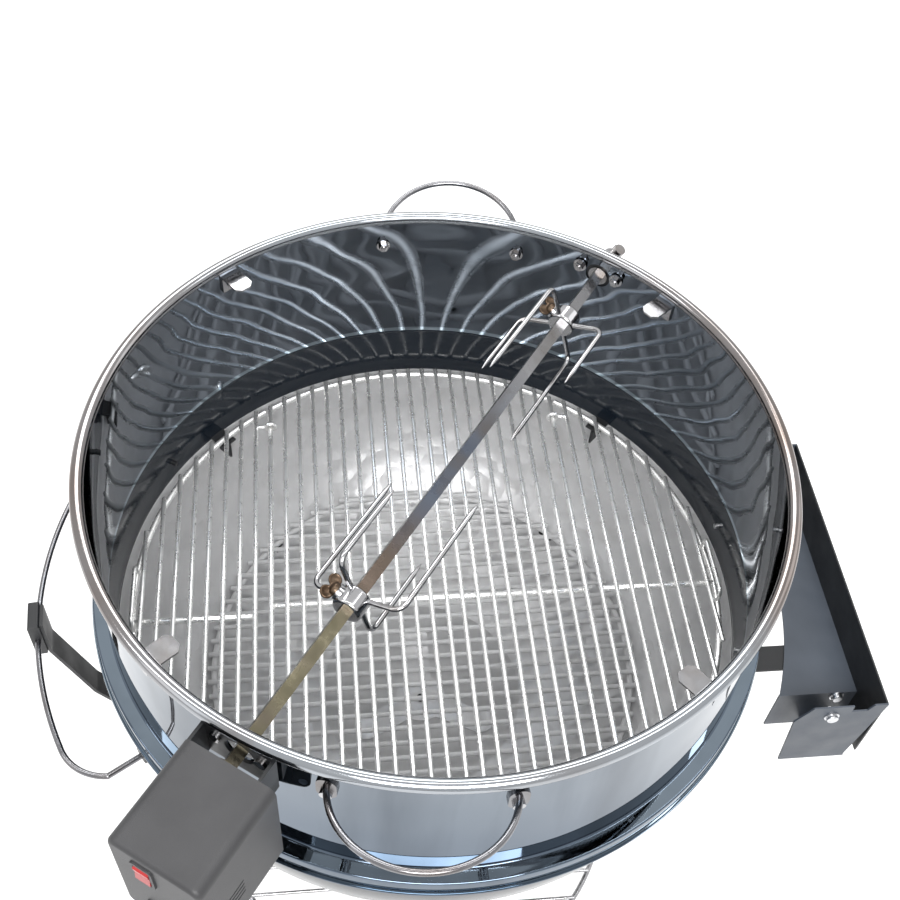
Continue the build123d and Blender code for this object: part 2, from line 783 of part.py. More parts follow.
with BuildPart() as lid_holder_clamps:
    for end in holder_ends:
        azimuth = math.degrees(math.atan2(end.Y, end.X))
        plate = wall_plane(azimuth, holder_z, bowl_radius + seat_gap)
        with BuildSketch(plate):
            RectangleRounded(2 * clamp_half, 2 * clamp_half, 3)
        extrude(amount=clamp_sheet)
        with BuildSketch(plate.offset(clamp_sheet)):
            Circle(3 * holder_wire)
            Circle(holder_wire + seat_gap / 2, mode=Mode.SUBTRACT)
        extrude(amount=8)
        # Stud through the bowl.
        with BuildSketch(plate):
            Circle(bolt_radius)
        extrude(amount=-2 * bowl_wall - nut_height)
finish(lid_holder_clamps, "lid_holder_clamps")

clip_plane = upright_plane(clip_azimuth)
clip_side = along(clip_azimuth + 90)
with BuildPart() as lid_holder_clip:
    with Locations(clip_plane):
        with Locations((holder_radius, holder_z)):
            Box(clip_depth, clip_height, clip_width)
    fillet(edges().filter_by(Axis((0, 0, 0), clip_side)), 2)
    # Groove that the hoop lies in.
    with BuildSketch(Plane.XZ):
        with Locations((holder_radius, holder_z)):
            Circle(holder_wire + seat_gap / 2)
    revolve(axis=Axis.Z, mode=Mode.SUBTRACT)
finish(lid_holder_clip, "lid_holder_clip")

arm_foot_x = wall_reach(0, arm_foot_z) + seat_gap
arm_x = holder_radius - clip_depth / 2 - seat_gap - arm_sheet / 2
with BuildPart() as lid_holder_arm:
    with BuildLine(clip_plane) as arm_path:
        FilletPolyline(
            (arm_x, holder_z + clip_height / 2 - 2),
            (arm_x, holder_z - clip_height / 2),
            (arm_x - 26, holder_z - 105),
            (arm_x - 44, arm_foot_z + 16),
            (arm_foot_x + 42, arm_foot_z),
            (arm_foot_x - 16, arm_foot_z),
            radius=arm_bend,
        )
    with BuildSketch(Plane(origin=arm_path.line @ 0, z_dir=arm_path.line % 0, x_dir=clip_side)):
        Rectangle(arm_width, arm_sheet)
    sweep()
    add(bowl_core.part, mode=Mode.SUBTRACT)
    # The hoop passes behind the arm.
    with BuildSketch(Plane.XZ):
        with Locations((holder_radius, holder_z)):
            Circle(holder_wire + seat_gap)
    revolve(axis=Axis.Z, mode=Mode.SUBTRACT)
finish(lid_holder_arm, "lid_holder_arm")

# ================================================================ side tray (right side)
tray_depth_x = tray_x - tray_sheet
plate_screw_z = tray_plate_z - plate_screw_drop
end_screw_z = tray_top - end_screw_drop
with BuildPart() as tray_outer_panel:
    with BuildSketch(Plane.YZ.offset(tray_depth_x)):
        with Locations((tray_middle, (tray_top + tray_bottom) / 2)):
            Rectangle(2 * (tray_half - tray_sheet - seat_gap), tray_top - tray_bottom)
    extrude(amount=tray_sheet)
    # Flange along its lower edge.
    with BuildSketch(Plane.YZ.offset(tray_depth_x - panel_flange)):
        with Locations((tray_middle, tray_bottom + tray_sheet / 2)):
            Rectangle(2 * (tray_plate_half - 3 * tray_sheet), tray_sheet)
    extrude(amount=panel_flange)
finish(tray_outer_panel, "tray_outer_panel")

plate_ends = {side: tray_middle + side * tray_plate_half for side in (-1, 1)}
plate_inner = {side: half_chord(tray_arc, plate_ends[side]) for side in (-1, 1)}
plate_outer = tray_depth_x - seat_gap
with BuildPart() as tray_plate:
    with BuildSketch(Plane.XY.offset(tray_plate_z - tray_sheet)):
        with BuildLine():
            corners = [(plate_inner[side], plate_ends[side]) for side in (-1, 1)]
            ThreePointArc(corners[0], (half_chord(tray_arc, tray_middle), tray_middle), corners[1])
            Polyline(
                corners[1],
                (plate_outer, plate_ends[1]),
                (plate_outer, plate_ends[-1]),
                corners[0],
            )
        make_face()
    extrude(amount=tray_sheet)
    for side in (-1, 1):
        with Locations(
            (
                (plate_inner[side] + plate_outer) / 2,
                plate_ends[side] - side * tray_sheet / 2,
                tray_plate_z - tray_flap / 2,
            )
        ):
            Box(plate_outer - plate_inner[side], tray_sheet, tray_flap)
        with Locations(
            Plane(origin=(plate_screw_x, plate_ends[side], plate_screw_z), z_dir=(0, side, 0))
        ):
            Hole(bolt_radius + bolt_gap, depth=2 * tray_sheet)
    # Lip along the outer panel.
    with Locations((plate_outer - tray_sheet / 2, tray_middle, tray_plate_z - tray_flap / 4)):
        Box(tray_sheet, 2 * tray_plate_half, tray_flap / 2)
finish(tray_plate, "tray_plate")

end_low_z = tray_bottom - 6
tray_ends = {side: tray_middle + side * tray_half for side in (-1, 1)}
for side, end_name in ((-1, "front"), (1, "rear")):
    with BuildPart() as end_plate:
        with BuildSketch(Plane.XZ.offset(-tray_ends[side])):
            with BuildLine():
                Polyline(
                    (end_plate_inner + 12, tray_top),
                    (notch_x, tray_top),
                    (notch_x, tray_top - notch_depth),
                    (notch_x + notch_width, tray_top - notch_depth),
                    (notch_x + notch_width + 4, tray_top),
                    (tray_x, tray_top),
                    (tray_x - end_taper, end_low_z),
                    (end_plate_inner + 6, end_low_z),
                    (end_plate_inner, tray_top - 22),
                    close=True,
                )
            make_face()
        extrude(amount=side * tray_sheet)
        # Tab that meets the tray plate's flap.
        with Locations(
            (
                plate_screw_x - end_tab / 2 + 8,
                tray_middle + side * (tray_half + tray_plate_half + seat_gap) / 2,
                tray_plate_z - tray_flap + 6,
            )
        ):
            Box(end_tab, tray_half - tray_plate_half - seat_gap, tray_sheet)
        with Locations(
            Plane(origin=(end_screw_x, tray_ends[side], end_screw_z), z_dir=(0, side, 0))
        ):
            Hole(bolt_radius + bolt_gap, depth=10)
    finish(end_plate, f"tray_{end_name}_plate")


def pan_screw(seat, length, head_radius=5.0, head=3.2):
    """Pan-head screw: the seat plane's z points out of the head."""
    with BuildPart(mode=Mode.PRIVATE) as screw:
        with BuildSketch(seat):
            Circle(washer_radius)
        extrude(amount=washer)
        with BuildSketch(seat.offset(washer)):
            Circle(head_radius)
        extrude(amount=head)
        rims = edges().filter_by(GeomType.CIRCLE)
        fillet(rims.sort_by_distance(seat.offset(3 * head_radius).origin)[0], head / 3)
        with BuildSketch(seat):
            Circle(bolt_radius)
        extrude(amount=-length)
    return screw.part


with BuildPart() as tray_screws:
    for side in (-1, 1):
        for origin in (
            (plate_screw_x, plate_ends[side], plate_screw_z),
            (end_screw_x, tray_ends[side], end_screw_z),
        ):
            add(pan_screw(Plane(origin=origin, z_dir=(0, side, 0)), tray_screw_length))
finish(tray_screws, "tray_screws")

# Brackets that carry the tray on the bowl's wall.
hanger_reach = tray_depth_x - 12
with BuildPart() as tray_hangers:
    for azimuth in hanger_azimuths:
        plate = wall_plane(azimuth, hanger_top - hanger_drop / 2, bowl_radius + seat_gap)
        with BuildSketch(plate):
            Rectangle(hanger_width, hanger_drop)
        extrude(amount=hanger_sheet)
        at = plate.origin
        shelf_z = tray_plate_z - tray_sheet - seat_gap - hanger_sheet / 2
        with Locations(((at.X + hanger_reach) / 2, at.Y, shelf_z)):
            Box(hanger_reach - at.X, hanger_width, hanger_sheet)
    with BuildSketch(Plane.XY.offset(tray_bottom)):
        Circle(bowl_radius + seat_gap)
    extrude(amount=tray_top - tray_bottom, mode=Mode.SUBTRACT)
    for azimuth in hanger_azimuths:
        with Locations(wall_plane(azimuth, hanger_bolt_z, bowl_radius + hanger_sheet)):
            Hole(bolt_radius + bolt_gap, depth=3 * hanger_sheet)
finish(tray_hangers, "tray_hangers")

with BuildPart() as hanger_bolts:
    for azimuth in hanger_azimuths:
        seat = wall_plane(azimuth, hanger_bolt_z, bowl_radius + seat_gap + hanger_sheet)
        add(pan_screw(seat, hanger_sheet + bowl_wall + nut_height))
finish(hanger_bolts, "hanger_bolts")

# ================================================================ rotisserie ring
ring_floor = lip_z + free_gap
bead_z = ring_top - ring_bead
spit_hole = bushing_radius + 3.0
handle_azimuths = [
    handle_azimuth + turn + side * handle_half_angle for turn in (0, 180) for side in (-1, 1)
]
handle_z = ring_top - handle_drop
tab_azimuths = [tab_azimuth + 90 * k for k in range(4)]
tab_rivet_z = ring_top - tab_drop - tab_leg / 2 - tab_sheet

with BuildPart() as rotisserie_ring:
    with BuildSketch(Plane.XZ):
        with Locations((ring_bead_centre, bead_z)):
            Circle(ring_bead)
            Circle(ring_bead - ring_wall, mode=Mode.SUBTRACT)
        # Open seam of the rolled edge.
        with Locations((ring_bead_centre + ring_bead / 2, bead_z - ring_bead)):
            Rectangle(ring_wall, ring_bead, mode=Mode.SUBTRACT)
        wall_top = bead_z - ring_bead + ring_wall / 2
        with Locations((ring_radius - ring_wall / 2, (wall_top + ring_floor) / 2)):
            Rectangle(ring_wall, wall_top - ring_floor)
        with Locations(((ring_inner + skirt_radius) / 2, ring_floor + ring_wall / 2)):
            Rectangle(skirt_radius - ring_inner, ring_wall)
        with Locations((skirt_radius - ring_wall / 2, ring_floor - skirt_depth / 2)):
            Rectangle(ring_wall, skirt_depth)
        with Locations(
            (skirt_radius + (skirt_flare - ring_wall) / 2, ring_floor - skirt_depth + ring_wall / 2)
        ):
            Rectangle(skirt_flare + ring_wall, ring_wall)
    revolve(axis=Axis.Z)
    with BuildSketch(spit_frame):
        Circle(spit_hole)
    extrude(amount=ring_radius + ring_bead, both=True, mode=Mode.SUBTRACT)
    with BuildSketch(spit_frame):
        with Locations(*[(side * bracket_bolt_x, bracket_bolt_y) for side in (-1, 1)]):
            Circle(bolt_radius + bolt_gap)
    extrude(amount=ring_radius + ring_bead, both=True, mode=Mode.SUBTRACT)
    with Locations(*[wall_plane(a, handle_z, ring_radius) for a in handle_azimuths]):
        Hole(bolt_radius + bolt_gap, depth=3 * ring_wall)
    with Locations(*[wall_plane(a, tab_rivet_z, ring_radius) for a in tab_azimuths]):
        Hole(rivet_radius + bolt_gap, depth=3 * ring_wall)
finish(rotisserie_ring, "rotisserie_ring")

# Steel tabs inside the ring that the lid rests on.
tab_top = ring_top - tab_drop
with BuildPart() as lid_rest_tabs:
    for azimuth in tab_azimuths:
        leg = wall_plane(azimuth, tab_top - tab_leg / 2, ring_inner - 3 * seat_gap)
        with BuildSketch(leg):
            Rectangle(tab_width, tab_leg)
        extrude(amount=-tab_sheet)
        out = along(azimuth)
        shelf = Plane(
            origin=out * (ring_inner - 3 * seat_gap) + Vector(0, 0, tab_top - tab_sheet),
            x_dir=out,
            z_dir=(0, 0, 1),
        )
        with BuildSketch(shelf):
            with Locations((-tab_reach / 2, 0)):
                Rectangle(tab_reach, tab_width)
            chamfer(vertices().group_by(Axis.X)[0], tab_width / 4)
        extrude(amount=tab_sheet)
    with Locations(*[wall_plane(a, tab_rivet_z, ring_inner - tab_sheet) for a in tab_azimuths]):
        Hole(rivet_radius + bolt_gap, depth=3 * tab_sheet)
finish(lid_rest_tabs, "lid_rest_tabs")

with BuildPart() as tab_rivets:
    for azimuth in tab_azimuths:
        inside = ring_inner - 3 * seat_gap - tab_sheet
        with BuildSketch(wall_plane(azimuth, tab_rivet_z, inside)):
            Circle(rivet_radius)
        extrude(amount=ring_radius - inside)
        with BuildSketch(wall_plane(azimuth, tab_rivet_z, ring_radius)):
            Circle(1.8 * rivet_radius)
        extrude(amount=1.4)
        with BuildSketch(wall_plane(azimuth, tab_rivet_z, inside)):
            Circle(1.8 * rivet_radius)
        extrude(amount=-1.4)
finish(tab_rivets, "tab_rivets")

# Bent-wire lifting handles, each with two flat feet bolted to the ring.
with BuildPart() as ring_handles:
    for turn in (0, 180):
        middle = along(handle_azimuth + turn)
        feet = [
            along(handle_azimuth + turn + side * handle_half_angle) * (ring_radius + handle_foot / 2)
            + Vector(0, 0, handle_z + handle_eye_rise)
            for side in (-1, 1)
        ]
        span = (feet[1] - feet[0]).length / 2
        chord = (feet[0] + feet[1]) * 0.5
        rise = math.radians(handle_slope)
        crown = chord + middle * (span * math.cos(rise)) + Vector(0, 0, span * math.sin(rise))
        with BuildLine() as bow:
            ThreePointArc(feet[0], crown, feet[1])
        with BuildSketch(Plane(origin=bow.line @ 0, z_dir=bow.line % 0)):
            Circle(handle_wire)
        sweep()
    for azimuth in handle_azimuths:
        with BuildSketch(wall_plane(azimuth, handle_z + handle_eye_rise / 2, ring_radius)):
            SlotCenterToCenter(handle_eye_rise, 2 * handle_foot_radius, rotation=90)
        extrude(amount=handle_foot)
    with BuildSketch(Plane.XY.offset(handle_z - 3 * handle_foot_radius)):
        Circle(ring_radius)
    extrude(amount=6 * handle_foot_radius, mode=Mode.SUBTRACT)
    with Locations(*[wall_plane(a, handle_z, ring_radius + 4 * handle_foot) for a in handle_azimuths]):
        Hole(bolt_radius + bolt_gap, depth=8 * handle_foot)
finish(ring_handles, "ring_handles")


def through_bolt(outer, inner_gap):
    """Bolt seated on the outer plane, with its washer and hexagon nut inner_gap further in."""
    with BuildPart(mode=Mode.PRIVATE) as bolt:
        with BuildSketch(outer):
            Circle(nut_radius)
        extrude(amount=nut_height * 0.7)
        with BuildSketch(outer):
            Circle(bolt_radius)
        extrude(amount=-inner_gap - washer - nut_height - 1)
        with BuildSketch(outer.offset(-inner_gap)):
            Circle(washer_radius)
        extrude(amount=-washer)
        with BuildSketch(outer.offset(-inner_gap - washer)):
            RegularPolygon(nut_radius, 6)
        extrude(amount=-nut_height)
    return bolt.part


with BuildPart() as handle_bolts:
    for azimuth in handle_azimuths:
        add(
            through_bolt(
                wall_plane(azimuth, handle_z, ring_radius + handle_foot),
                handle_foot + ring_wall + 3 * seat_gap,
            )
        )
finish(handle_bolts, "handle_bolts")

# ---------------------------------------------------------------- spit brackets
with BuildPart() as spit_bracket_rear:
    with BuildSketch(spit_frame.offset(bracket_near)):
        with Locations((0, (rear_high - rear_low) / 2)):
            RectangleRounded(2 * bracket_half_width, rear_high + rear_low, 4)
        Circle(bushing_radius + run_gap, mode=Mode.SUBTRACT)
        with Locations(*[(side * bracket_bolt_x, bracket_bolt_y) for side in (-1, 1)]):
            Circle(bolt_radius + bolt_gap, mode=Mode.SUBTRACT)
    extrude(amount=rear_plate)
finish(spit_bracket_rear, "spit_bracket_rear")

with BuildPart() as spit_bracket_front:
    with BuildSketch(spit_frame.offset(-bracket_near)):
        with Locations((0, (front_high - front_low) / 2)):
            Rectangle(2 * bracket_half_width, front_high + front_low)
        Circle(spit_hole, mode=Mode.SUBTRACT)
        with Locations(*[(side * bracket_bolt_x, bracket_bolt_y) for side in (-1, 1)]):
            Circle(bolt_radius + bolt_gap, mode=Mode.SUBTRACT)
    extrude(amount=-bracket_sheet)
    with BuildSketch(spit_frame.offset(-bracket_near)):
        for side in (-1, 1):
            with Locations(
                (side * (bracket_half_width - bracket_sheet / 2), (front_high - front_low) / 2)
            ):
                Rectangle(bracket_sheet, front_high + front_low)
    extrude(amount=bracket_near - motor_plate_far)
    with BuildSketch(spit_frame.offset(-motor_plate_far)):
        with Locations((0, (front_high - motor_plate_low) / 2)):
            RectangleRounded(2 * bracket_half_width, front_high + motor_plate_low, 4)
        Circle(socket_radius + free_gap, mode=Mode.SUBTRACT)
    extrude(amount=bracket_sheet)
finish(spit_bracket_front, "spit_bracket_front")

with BuildPart() as bracket_bolts:
    for side in (-1, 1):
        for end, stack in ((1, rear_plate), (-1, bracket_sheet)):
            seat = Plane(
                origin=spit_frame.from_local_coords(
                    Vector(side * bracket_bolt_x, bracket_bolt_y, end * (bracket_near + stack))
                ),
                x_dir=spit_frame.x_dir,
                z_dir=spit_axis * end,
            )
            wall_gap = bracket_near - half_chord(ring_inner, side * bracket_bolt_x - spit_offset)
            add(through_bolt(seat, stack + wall_gap + 3 * seat_gap + washer_radius * 0.1))
finish(bracket_bolts, "bracket_bolts")

# ---------------------------------------------------------------- spit and bushing
with BuildPart() as spit_rod:
    with BuildSketch(bar_frame.offset(-spit_near)):
        Rectangle(spit_side, spit_side)
    extrude(amount=spit_far + spit_near)
    chamfer(faces().sort_by(Axis(spit_origin, spit_axis))[-1].edges(), 2.5)
finish(spit_rod, "spit_rod")

collar_start = bushing_flange + bushing_sheet
with BuildPart() as spit_bushing:
    with BuildSketch(bar_frame.offset(bushing_inner)):
        Circle(bushing_radius)
    extrude(amount=bushing_flange - bushing_inner)
    with BuildSketch(bar_frame.offset(bushing_flange)):
        Circle(bushing_flange_radius)
    extrude(amount=bushing_sheet)
    with BuildSketch(bar_frame.offset(collar_start)):
        Circle(bushing_radius)
    extrude(amount=collar_length)
    # Thumb wheel that clamps the bushing to the bar.
    with BuildSketch(
        Plane(
            origin=bar_frame.from_local_coords(Vector(0, 0, collar_start + collar_length / 2)),
            z_dir=bar_frame.y_dir,
        )
    ):
        Circle(screw_radius)
    extrude(amount=bushing_radius + 5)
    with BuildSketch(
        Plane(
            origin=bar_frame.from_local_coords(
                Vector(0, bushing_radius + 5, collar_start + collar_length / 2)
            ),
            z_dir=bar_frame.y_dir,
        )
    ):
        Circle(screw_wing_radius)
    extrude(amount=5)
    with BuildSketch(bar_frame.offset(bushing_inner)):
        Rectangle(spit_side + 2 * run_gap, spit_side + 2 * run_gap)
    extrude(amount=spit_far - bushing_inner, mode=Mode.SUBTRACT)
finish(spit_bushing, "spit_bushing")


# ---------------------------------------------------------------- forks
def fork_frame(centre, facing):
    """Frame of a fork: x along its thumbscrew, z the way that its prongs point."""
    return Plane(
        origin=bar_frame.from_local_coords(Vector(0, 0, centre)),
        x_dir=bar_frame.x_dir,
        z_dir=spit_axis * facing,
    )


for centre, facing, fork_name in ((fork_centres[0], 1, "front"), (fork_centres[1], -1, "rear")):
    frame = fork_frame(centre, facing)
    with BuildPart() as prongs:
        for angle, length in (
            (-45, prong_long),
            (135, prong_long),
            (45, prong_short),
            (225, prong_short),
        ):
            out_x = math.cos(math.radians(angle))
            out_y = math.sin(math.radians(angle))
            root = spit_side * 0.9
            tip = prong_setback + length - prong_point
            path = [
                frame.from_local_coords(Vector(out_x * reach, out_y * reach, rise))
                for reach, rise in (
                    (root, prong_setback),
                    (prong_radius, prong_setback),
                    (prong_radius, tip),
                )
            ]
            with BuildLine() as bent:
                FilletPolyline(*path, radius=prong_bend)
            with BuildSketch(Plane(origin=path[0], z_dir=path[1] - path[0])):
                Circle(prong_wire)
            sweep()
            with Locations(Plane(origin=path[2], z_dir=frame.z_dir)):
                Cone(
                    prong_wire,
                    prong_wire * 0.2,
                    prong_point,
                    align=(Align.CENTER, Align.CENTER, Align.MIN),
                )
    finish(prongs, f"fork_{fork_name}_prongs")
    with BuildPart() as fork_hub:
        with BuildSketch(frame.offset(-hub_length / 2)):
            Circle(hub_radius)
        extrude(amount=hub_length)
        fillet(edges().filter_by(GeomType.CIRCLE), 2.5)
        with BuildSketch(
            Plane(origin=frame.origin, x_dir=frame.z_dir, z_dir=frame.x_dir)
        ):
            Circle(hub_boss_radius)
        extrude(amount=hub_boss_height)
        with BuildSketch(frame.offset(-hub_length)):
            Rectangle(spit_side + 2 * run_gap, spit_side + 2 * run_gap)
        extrude(amount=2 * hub_length, mode=Mode.SUBTRACT)
        for angle in (-45, 135, 45, 225):
            out = frame.x_dir * math.cos(math.radians(angle)) + frame.y_dir * math.sin(
                math.radians(angle)
            )
            at = frame.origin + frame.z_dir * prong_setback
            with BuildSketch(Plane(origin=at, z_dir=out)):
                Circle(prong_wire + run_gap)
            extrude(amount=prong_radius, mode=Mode.SUBTRACT)
        with BuildSketch(Plane(origin=frame.origin, z_dir=frame.x_dir)):
            Circle(screw_radius + run_gap)
        extrude(amount=prong_radius, mode=Mode.SUBTRACT)
    finish(fork_hub, f"fork_{fork_name}_hub")
    with BuildPart() as thumbscrew:
        start = spit_side / 2 + free_gap
        end = hub_boss_height + free_gap
        with BuildSketch(Plane(origin=frame.origin, z_dir=frame.x_dir).offset(start)):
            Circle(screw_radius)
        extrude(amount=end - start + 3)
        with BuildSketch(Plane(origin=frame.origin, z_dir=frame.x_dir).offset(end)):
            Circle(hub_boss_radius * 0.8)
        extrude(amount=4)
        # Two round wings.
        with BuildSketch(
            Plane(
                origin=frame.origin + frame.x_dir * (end + screw_wing_radius)
                - frame.y_dir * (screw_wing_sheet / 2),
                x_dir=frame.z_dir,
                z_dir=frame.y_dir,
            )
        ):
            with Locations((-screw_wing_offset, 0), (screw_wing_offset, 0)):
                Circle(screw_wing_radius)
            Rectangle(2 * screw_wing_offset, screw_wing_radius)
        extrude(amount=screw_wing_sheet)
    finish(thumbscrew, f"fork_{fork_name}_screw")


# ================================================================ motor
def gear_outline(teeth, phase, centre_y=0.0):
    """Involute outline of a spur gear, 20 degree pressure angle, as a closed run of points."""
    pitch = module_mm * teeth / 2
    base = pitch * math.cos(math.radians(20))
    tip = pitch + addendum * module_mm
    root = pitch - dedendum * module_mm

    def flank_angle(radius):
        roll_angle = math.sqrt(max((radius / base) ** 2 - 1, 0))
        return roll_angle - math.atan(roll_angle)

    half_tooth = math.pi / (2 * teeth) - backlash / (4 * pitch) + flank_angle(pitch)
    steps = 4
    low = max(base, root)
    radii = [low + (tip - low) * k / steps for k in range(steps + 1)]
    flank = [(root, half_tooth)] if root < base else []
    flank += [(r, half_tooth - flank_angle(r)) for r in radii]
    points = []
    for tooth in range(teeth):
        middle = math.radians(phase) + 2 * math.pi * tooth / teeth
        for r, a in flank:
            points.append((r * math.cos(middle - a), centre_y + r * math.sin(middle - a)))
        for r, a in reversed(flank):
            points.append((r * math.cos(middle + a), centre_y + r * math.sin(middle + a)))
    return points


gear_plane = spit_frame.offset(-gear_face - gear_width)
cover_near = motor_plate_far + free_gap
housing_near = cover_near + cover_sheet
housing_far = housing_near + housing_length
housing_middle = ((housing_left - housing_right) / 2, (housing_top - housing_bottom) / 2)
housing_size = (housing_left + housing_right, housing_top + housing_bottom)
frame_plate_s = gear_face + gear_width + 3.0
pinion_at = (0.0, -gear_centres)

with BuildPart() as output_gear:
    with BuildSketch(gear_plane):
        with BuildLine():
            Polyline(*gear_outline(gear_teeth, 0), close=True)
        make_face()
        Circle(socket_radius + seat_gap / 2, mode=Mode.SUBTRACT)
    extrude(amount=gear_width)
finish(output_gear, "output_gear")

with BuildPart() as drive_socket:
    with BuildSketch(spit_frame.offset(-spit_near - free_gap)):
        Circle(socket_radius)
    extrude(amount=spit_near - motor_plate_far + bracket_sheet + 4)
    with BuildSketch(spit_frame.offset(-frame_plate_s + seat_gap)):
        Circle(socket_radius)
    extrude(amount=frame_plate_s - seat_gap - spit_near - free_gap)
    with BuildSketch(spit_frame.offset(-frame_plate_s - frame_plate)):
        Circle(stub_radius)
    extrude(amount=frame_plate + 1)
    with BuildSketch(bar_frame.offset(-spit_near - free_gap)):
        Rectangle(spit_side + 4 * run_gap, spit_side + 4 * run_gap)
    extrude(amount=spit_near, mode=Mode.SUBTRACT)
finish(drive_socket, "drive_socket")

with BuildPart() as pinion:
    with BuildSketch(gear_plane):
        with BuildLine():
            Polyline(
                *gear_outline(pinion_teeth, 180 / pinion_teeth, -gear_centres), close=True
            )
        make_face()
    extrude(amount=gear_width)
    with BuildSketch(spit_frame.offset(-gear_face - gear_width - frame_plate - 12)):
        with Locations(pinion_at):
            Circle(motor_shaft)
    extrude(amount=gear_width + frame_plate + 12)
finish(pinion, "pinion")

with BuildPart() as gearbox_plate:
    with BuildSketch(spit_frame.offset(-frame_plate_s)):
        with Locations(housing_middle):
            RectangleRounded(
                housing_size[0] - 2 * (housing_wall + seat_gap),
                housing_size[1] - 2 * (housing_wall + seat_gap),
                housing_corner - housing_wall,
            )
        Circle(stub_radius + run_gap, mode=Mode.SUBTRACT)
        with Locations(pinion_at):
            Circle(motor_shaft + 2 * run_gap, mode=Mode.SUBTRACT)
    extrude(amount=-frame_plate)
finish(gearbox_plate, "gearbox_plate")

with BuildPart() as motor_can:
    with BuildSketch(spit_frame.offset(-frame_plate_s - frame_plate)):
        with Locations(pinion_at):
            Circle(motor_radius)
    extrude(amount=-motor_length)
    fillet(edges().filter_by(GeomType.CIRCLE), 2)
    with BuildSketch(spit_frame.offset(-frame_plate_s)):
        with Locations(pinion_at):
            Circle(motor_shaft + run_gap)
    extrude(amount=-20, mode=Mode.SUBTRACT)
finish(motor_can, "motor_can")

rocker_slot = (rocker_width + 2 * free_gap, 2 * (rocker_radius + free_gap))
with BuildPart() as motor_housing:
    with BuildSketch(spit_frame.offset(-housing_near)):
        with Locations(housing_middle):
            RectangleRounded(*housing_size, housing_corner)
    extrude(amount=-housing_length)
    fillet(faces().sort_by(Axis(spit_origin, spit_axis))[0].edges(), 4)
    with BuildSketch(spit_frame.offset(-housing_near)):
        with Locations(housing_middle):
            RectangleRounded(
                housing_size[0] - 2 * housing_wall,
                housing_size[1] - 2 * housing_wall,
                housing_corner - housing_wall,
            )
    extrude(amount=-housing_length + housing_wall, mode=Mode.SUBTRACT)
    with BuildSketch(spit_frame.offset(-housing_far)):
        with Locations(rocker_at):
            Rectangle(*rocker_slot)
        with Locations(inlet_at):
            Rectangle(inlet_size[0] + 2 * seat_gap, inlet_size[1] + 2 * seat_gap)
    extrude(amount=2 * housing_wall, both=True, mode=Mode.SUBTRACT)
    # Bezel round the rocker.
    with BuildSketch(spit_frame.offset(-housing_far)):
        with Locations(rocker_at):
            RectangleRounded(rocker_slot[0] + 5, rocker_slot[1] + 5, 3)
            Rectangle(*rocker_slot, mode=Mode.SUBTRACT)
    extrude(amount=-1.6)
    # Cooling slots in the underside's two side walls.
    slot_plane = Plane(
        origin=spit_frame.from_local_coords(
            Vector(housing_middle[0], -housing_bottom / 2, -housing_far + housing_length / 3)
        ),
        x_dir=spit_axis,
        z_dir=spit_frame.x_dir,
    )
    with BuildSketch(slot_plane):
        with GridLocations(0, 6, 1, 4):
            SlotOverall(26, 2.4)
    extrude(amount=housing_size[0], both=True, mode=Mode.SUBTRACT)
finish(motor_housing, "motor_housing")

cover_screws = [
    (
        housing_middle[0] + sx * (housing_size[0] / 2 - 7),
        housing_middle[1] + sy * (housing_size[1] / 2 - 7),
    )
    for sx in (-1, 1)
    for sy in (-1, 1)
]
with BuildPart() as motor_cover:
    with BuildSketch(spit_frame.offset(-cover_near)):
        with Locations(housing_middle):
            RectangleRounded(*housing_size, housing_corner)
        Circle(socket_radius + run_gap, mode=Mode.SUBTRACT)
        with Locations(*cover_screws):
            Circle(rivet_radius + bolt_gap, mode=Mode.SUBTRACT)
    extrude(amount=-cover_sheet)
    with BuildSketch(spit_frame.offset(-cover_near)):
        with Locations(*cover_screws):
            Circle(cover_head + bolt_gap)
    extrude(amount=-cover_head_height - bolt_gap, mode=Mode.SUBTRACT)
finish(motor_cover, "motor_cover")

with BuildPart() as motor_screws:
    with BuildSketch(spit_frame.offset(-cover_near)):
        with Locations(*cover_screws):
            Circle(rivet_radius)
    extrude(amount=-(frame_plate_s - cover_near - seat_gap))
    with BuildSketch(spit_frame.offset(-cover_near)):
        with Locations(*cover_screws):
            Circle(cover_head)
    extrude(amount=-cover_head_height)
finish(motor_screws, "motor_screws")

with BuildPart() as power_inlet:
    with BuildSketch(spit_frame.offset(-housing_far - 2)):
        with Locations(inlet_at):
            Rectangle(*inlet_size)
    extrude(amount=inlet_depth + 2)
    with BuildSketch(spit_frame.offset(-housing_far)):
        with Locations(inlet_at):
            RectangleRounded(inlet_size[0] + 5, inlet_size[1] + 5, 2)
    extrude(amount=-2)
    with BuildSketch(spit_frame.offset(-housing_far - 2)):
        with Locations(inlet_at):
            RectangleRounded(inlet_size[0] - 4, inlet_size[1] - 4, 2)
    extrude(amount=inlet_depth, mode=Mode.SUBTRACT)
    with BuildSketch(spit_frame.offset(-housing_far + 2)):
        with Locations(inlet_at):
            with Locations((-6, -2), (0, 3), (6, -2)):
                Rectangle(1.6, 4)
    extrude(amount=inlet_depth - 4)
finish(power_inlet, "power_inlet")

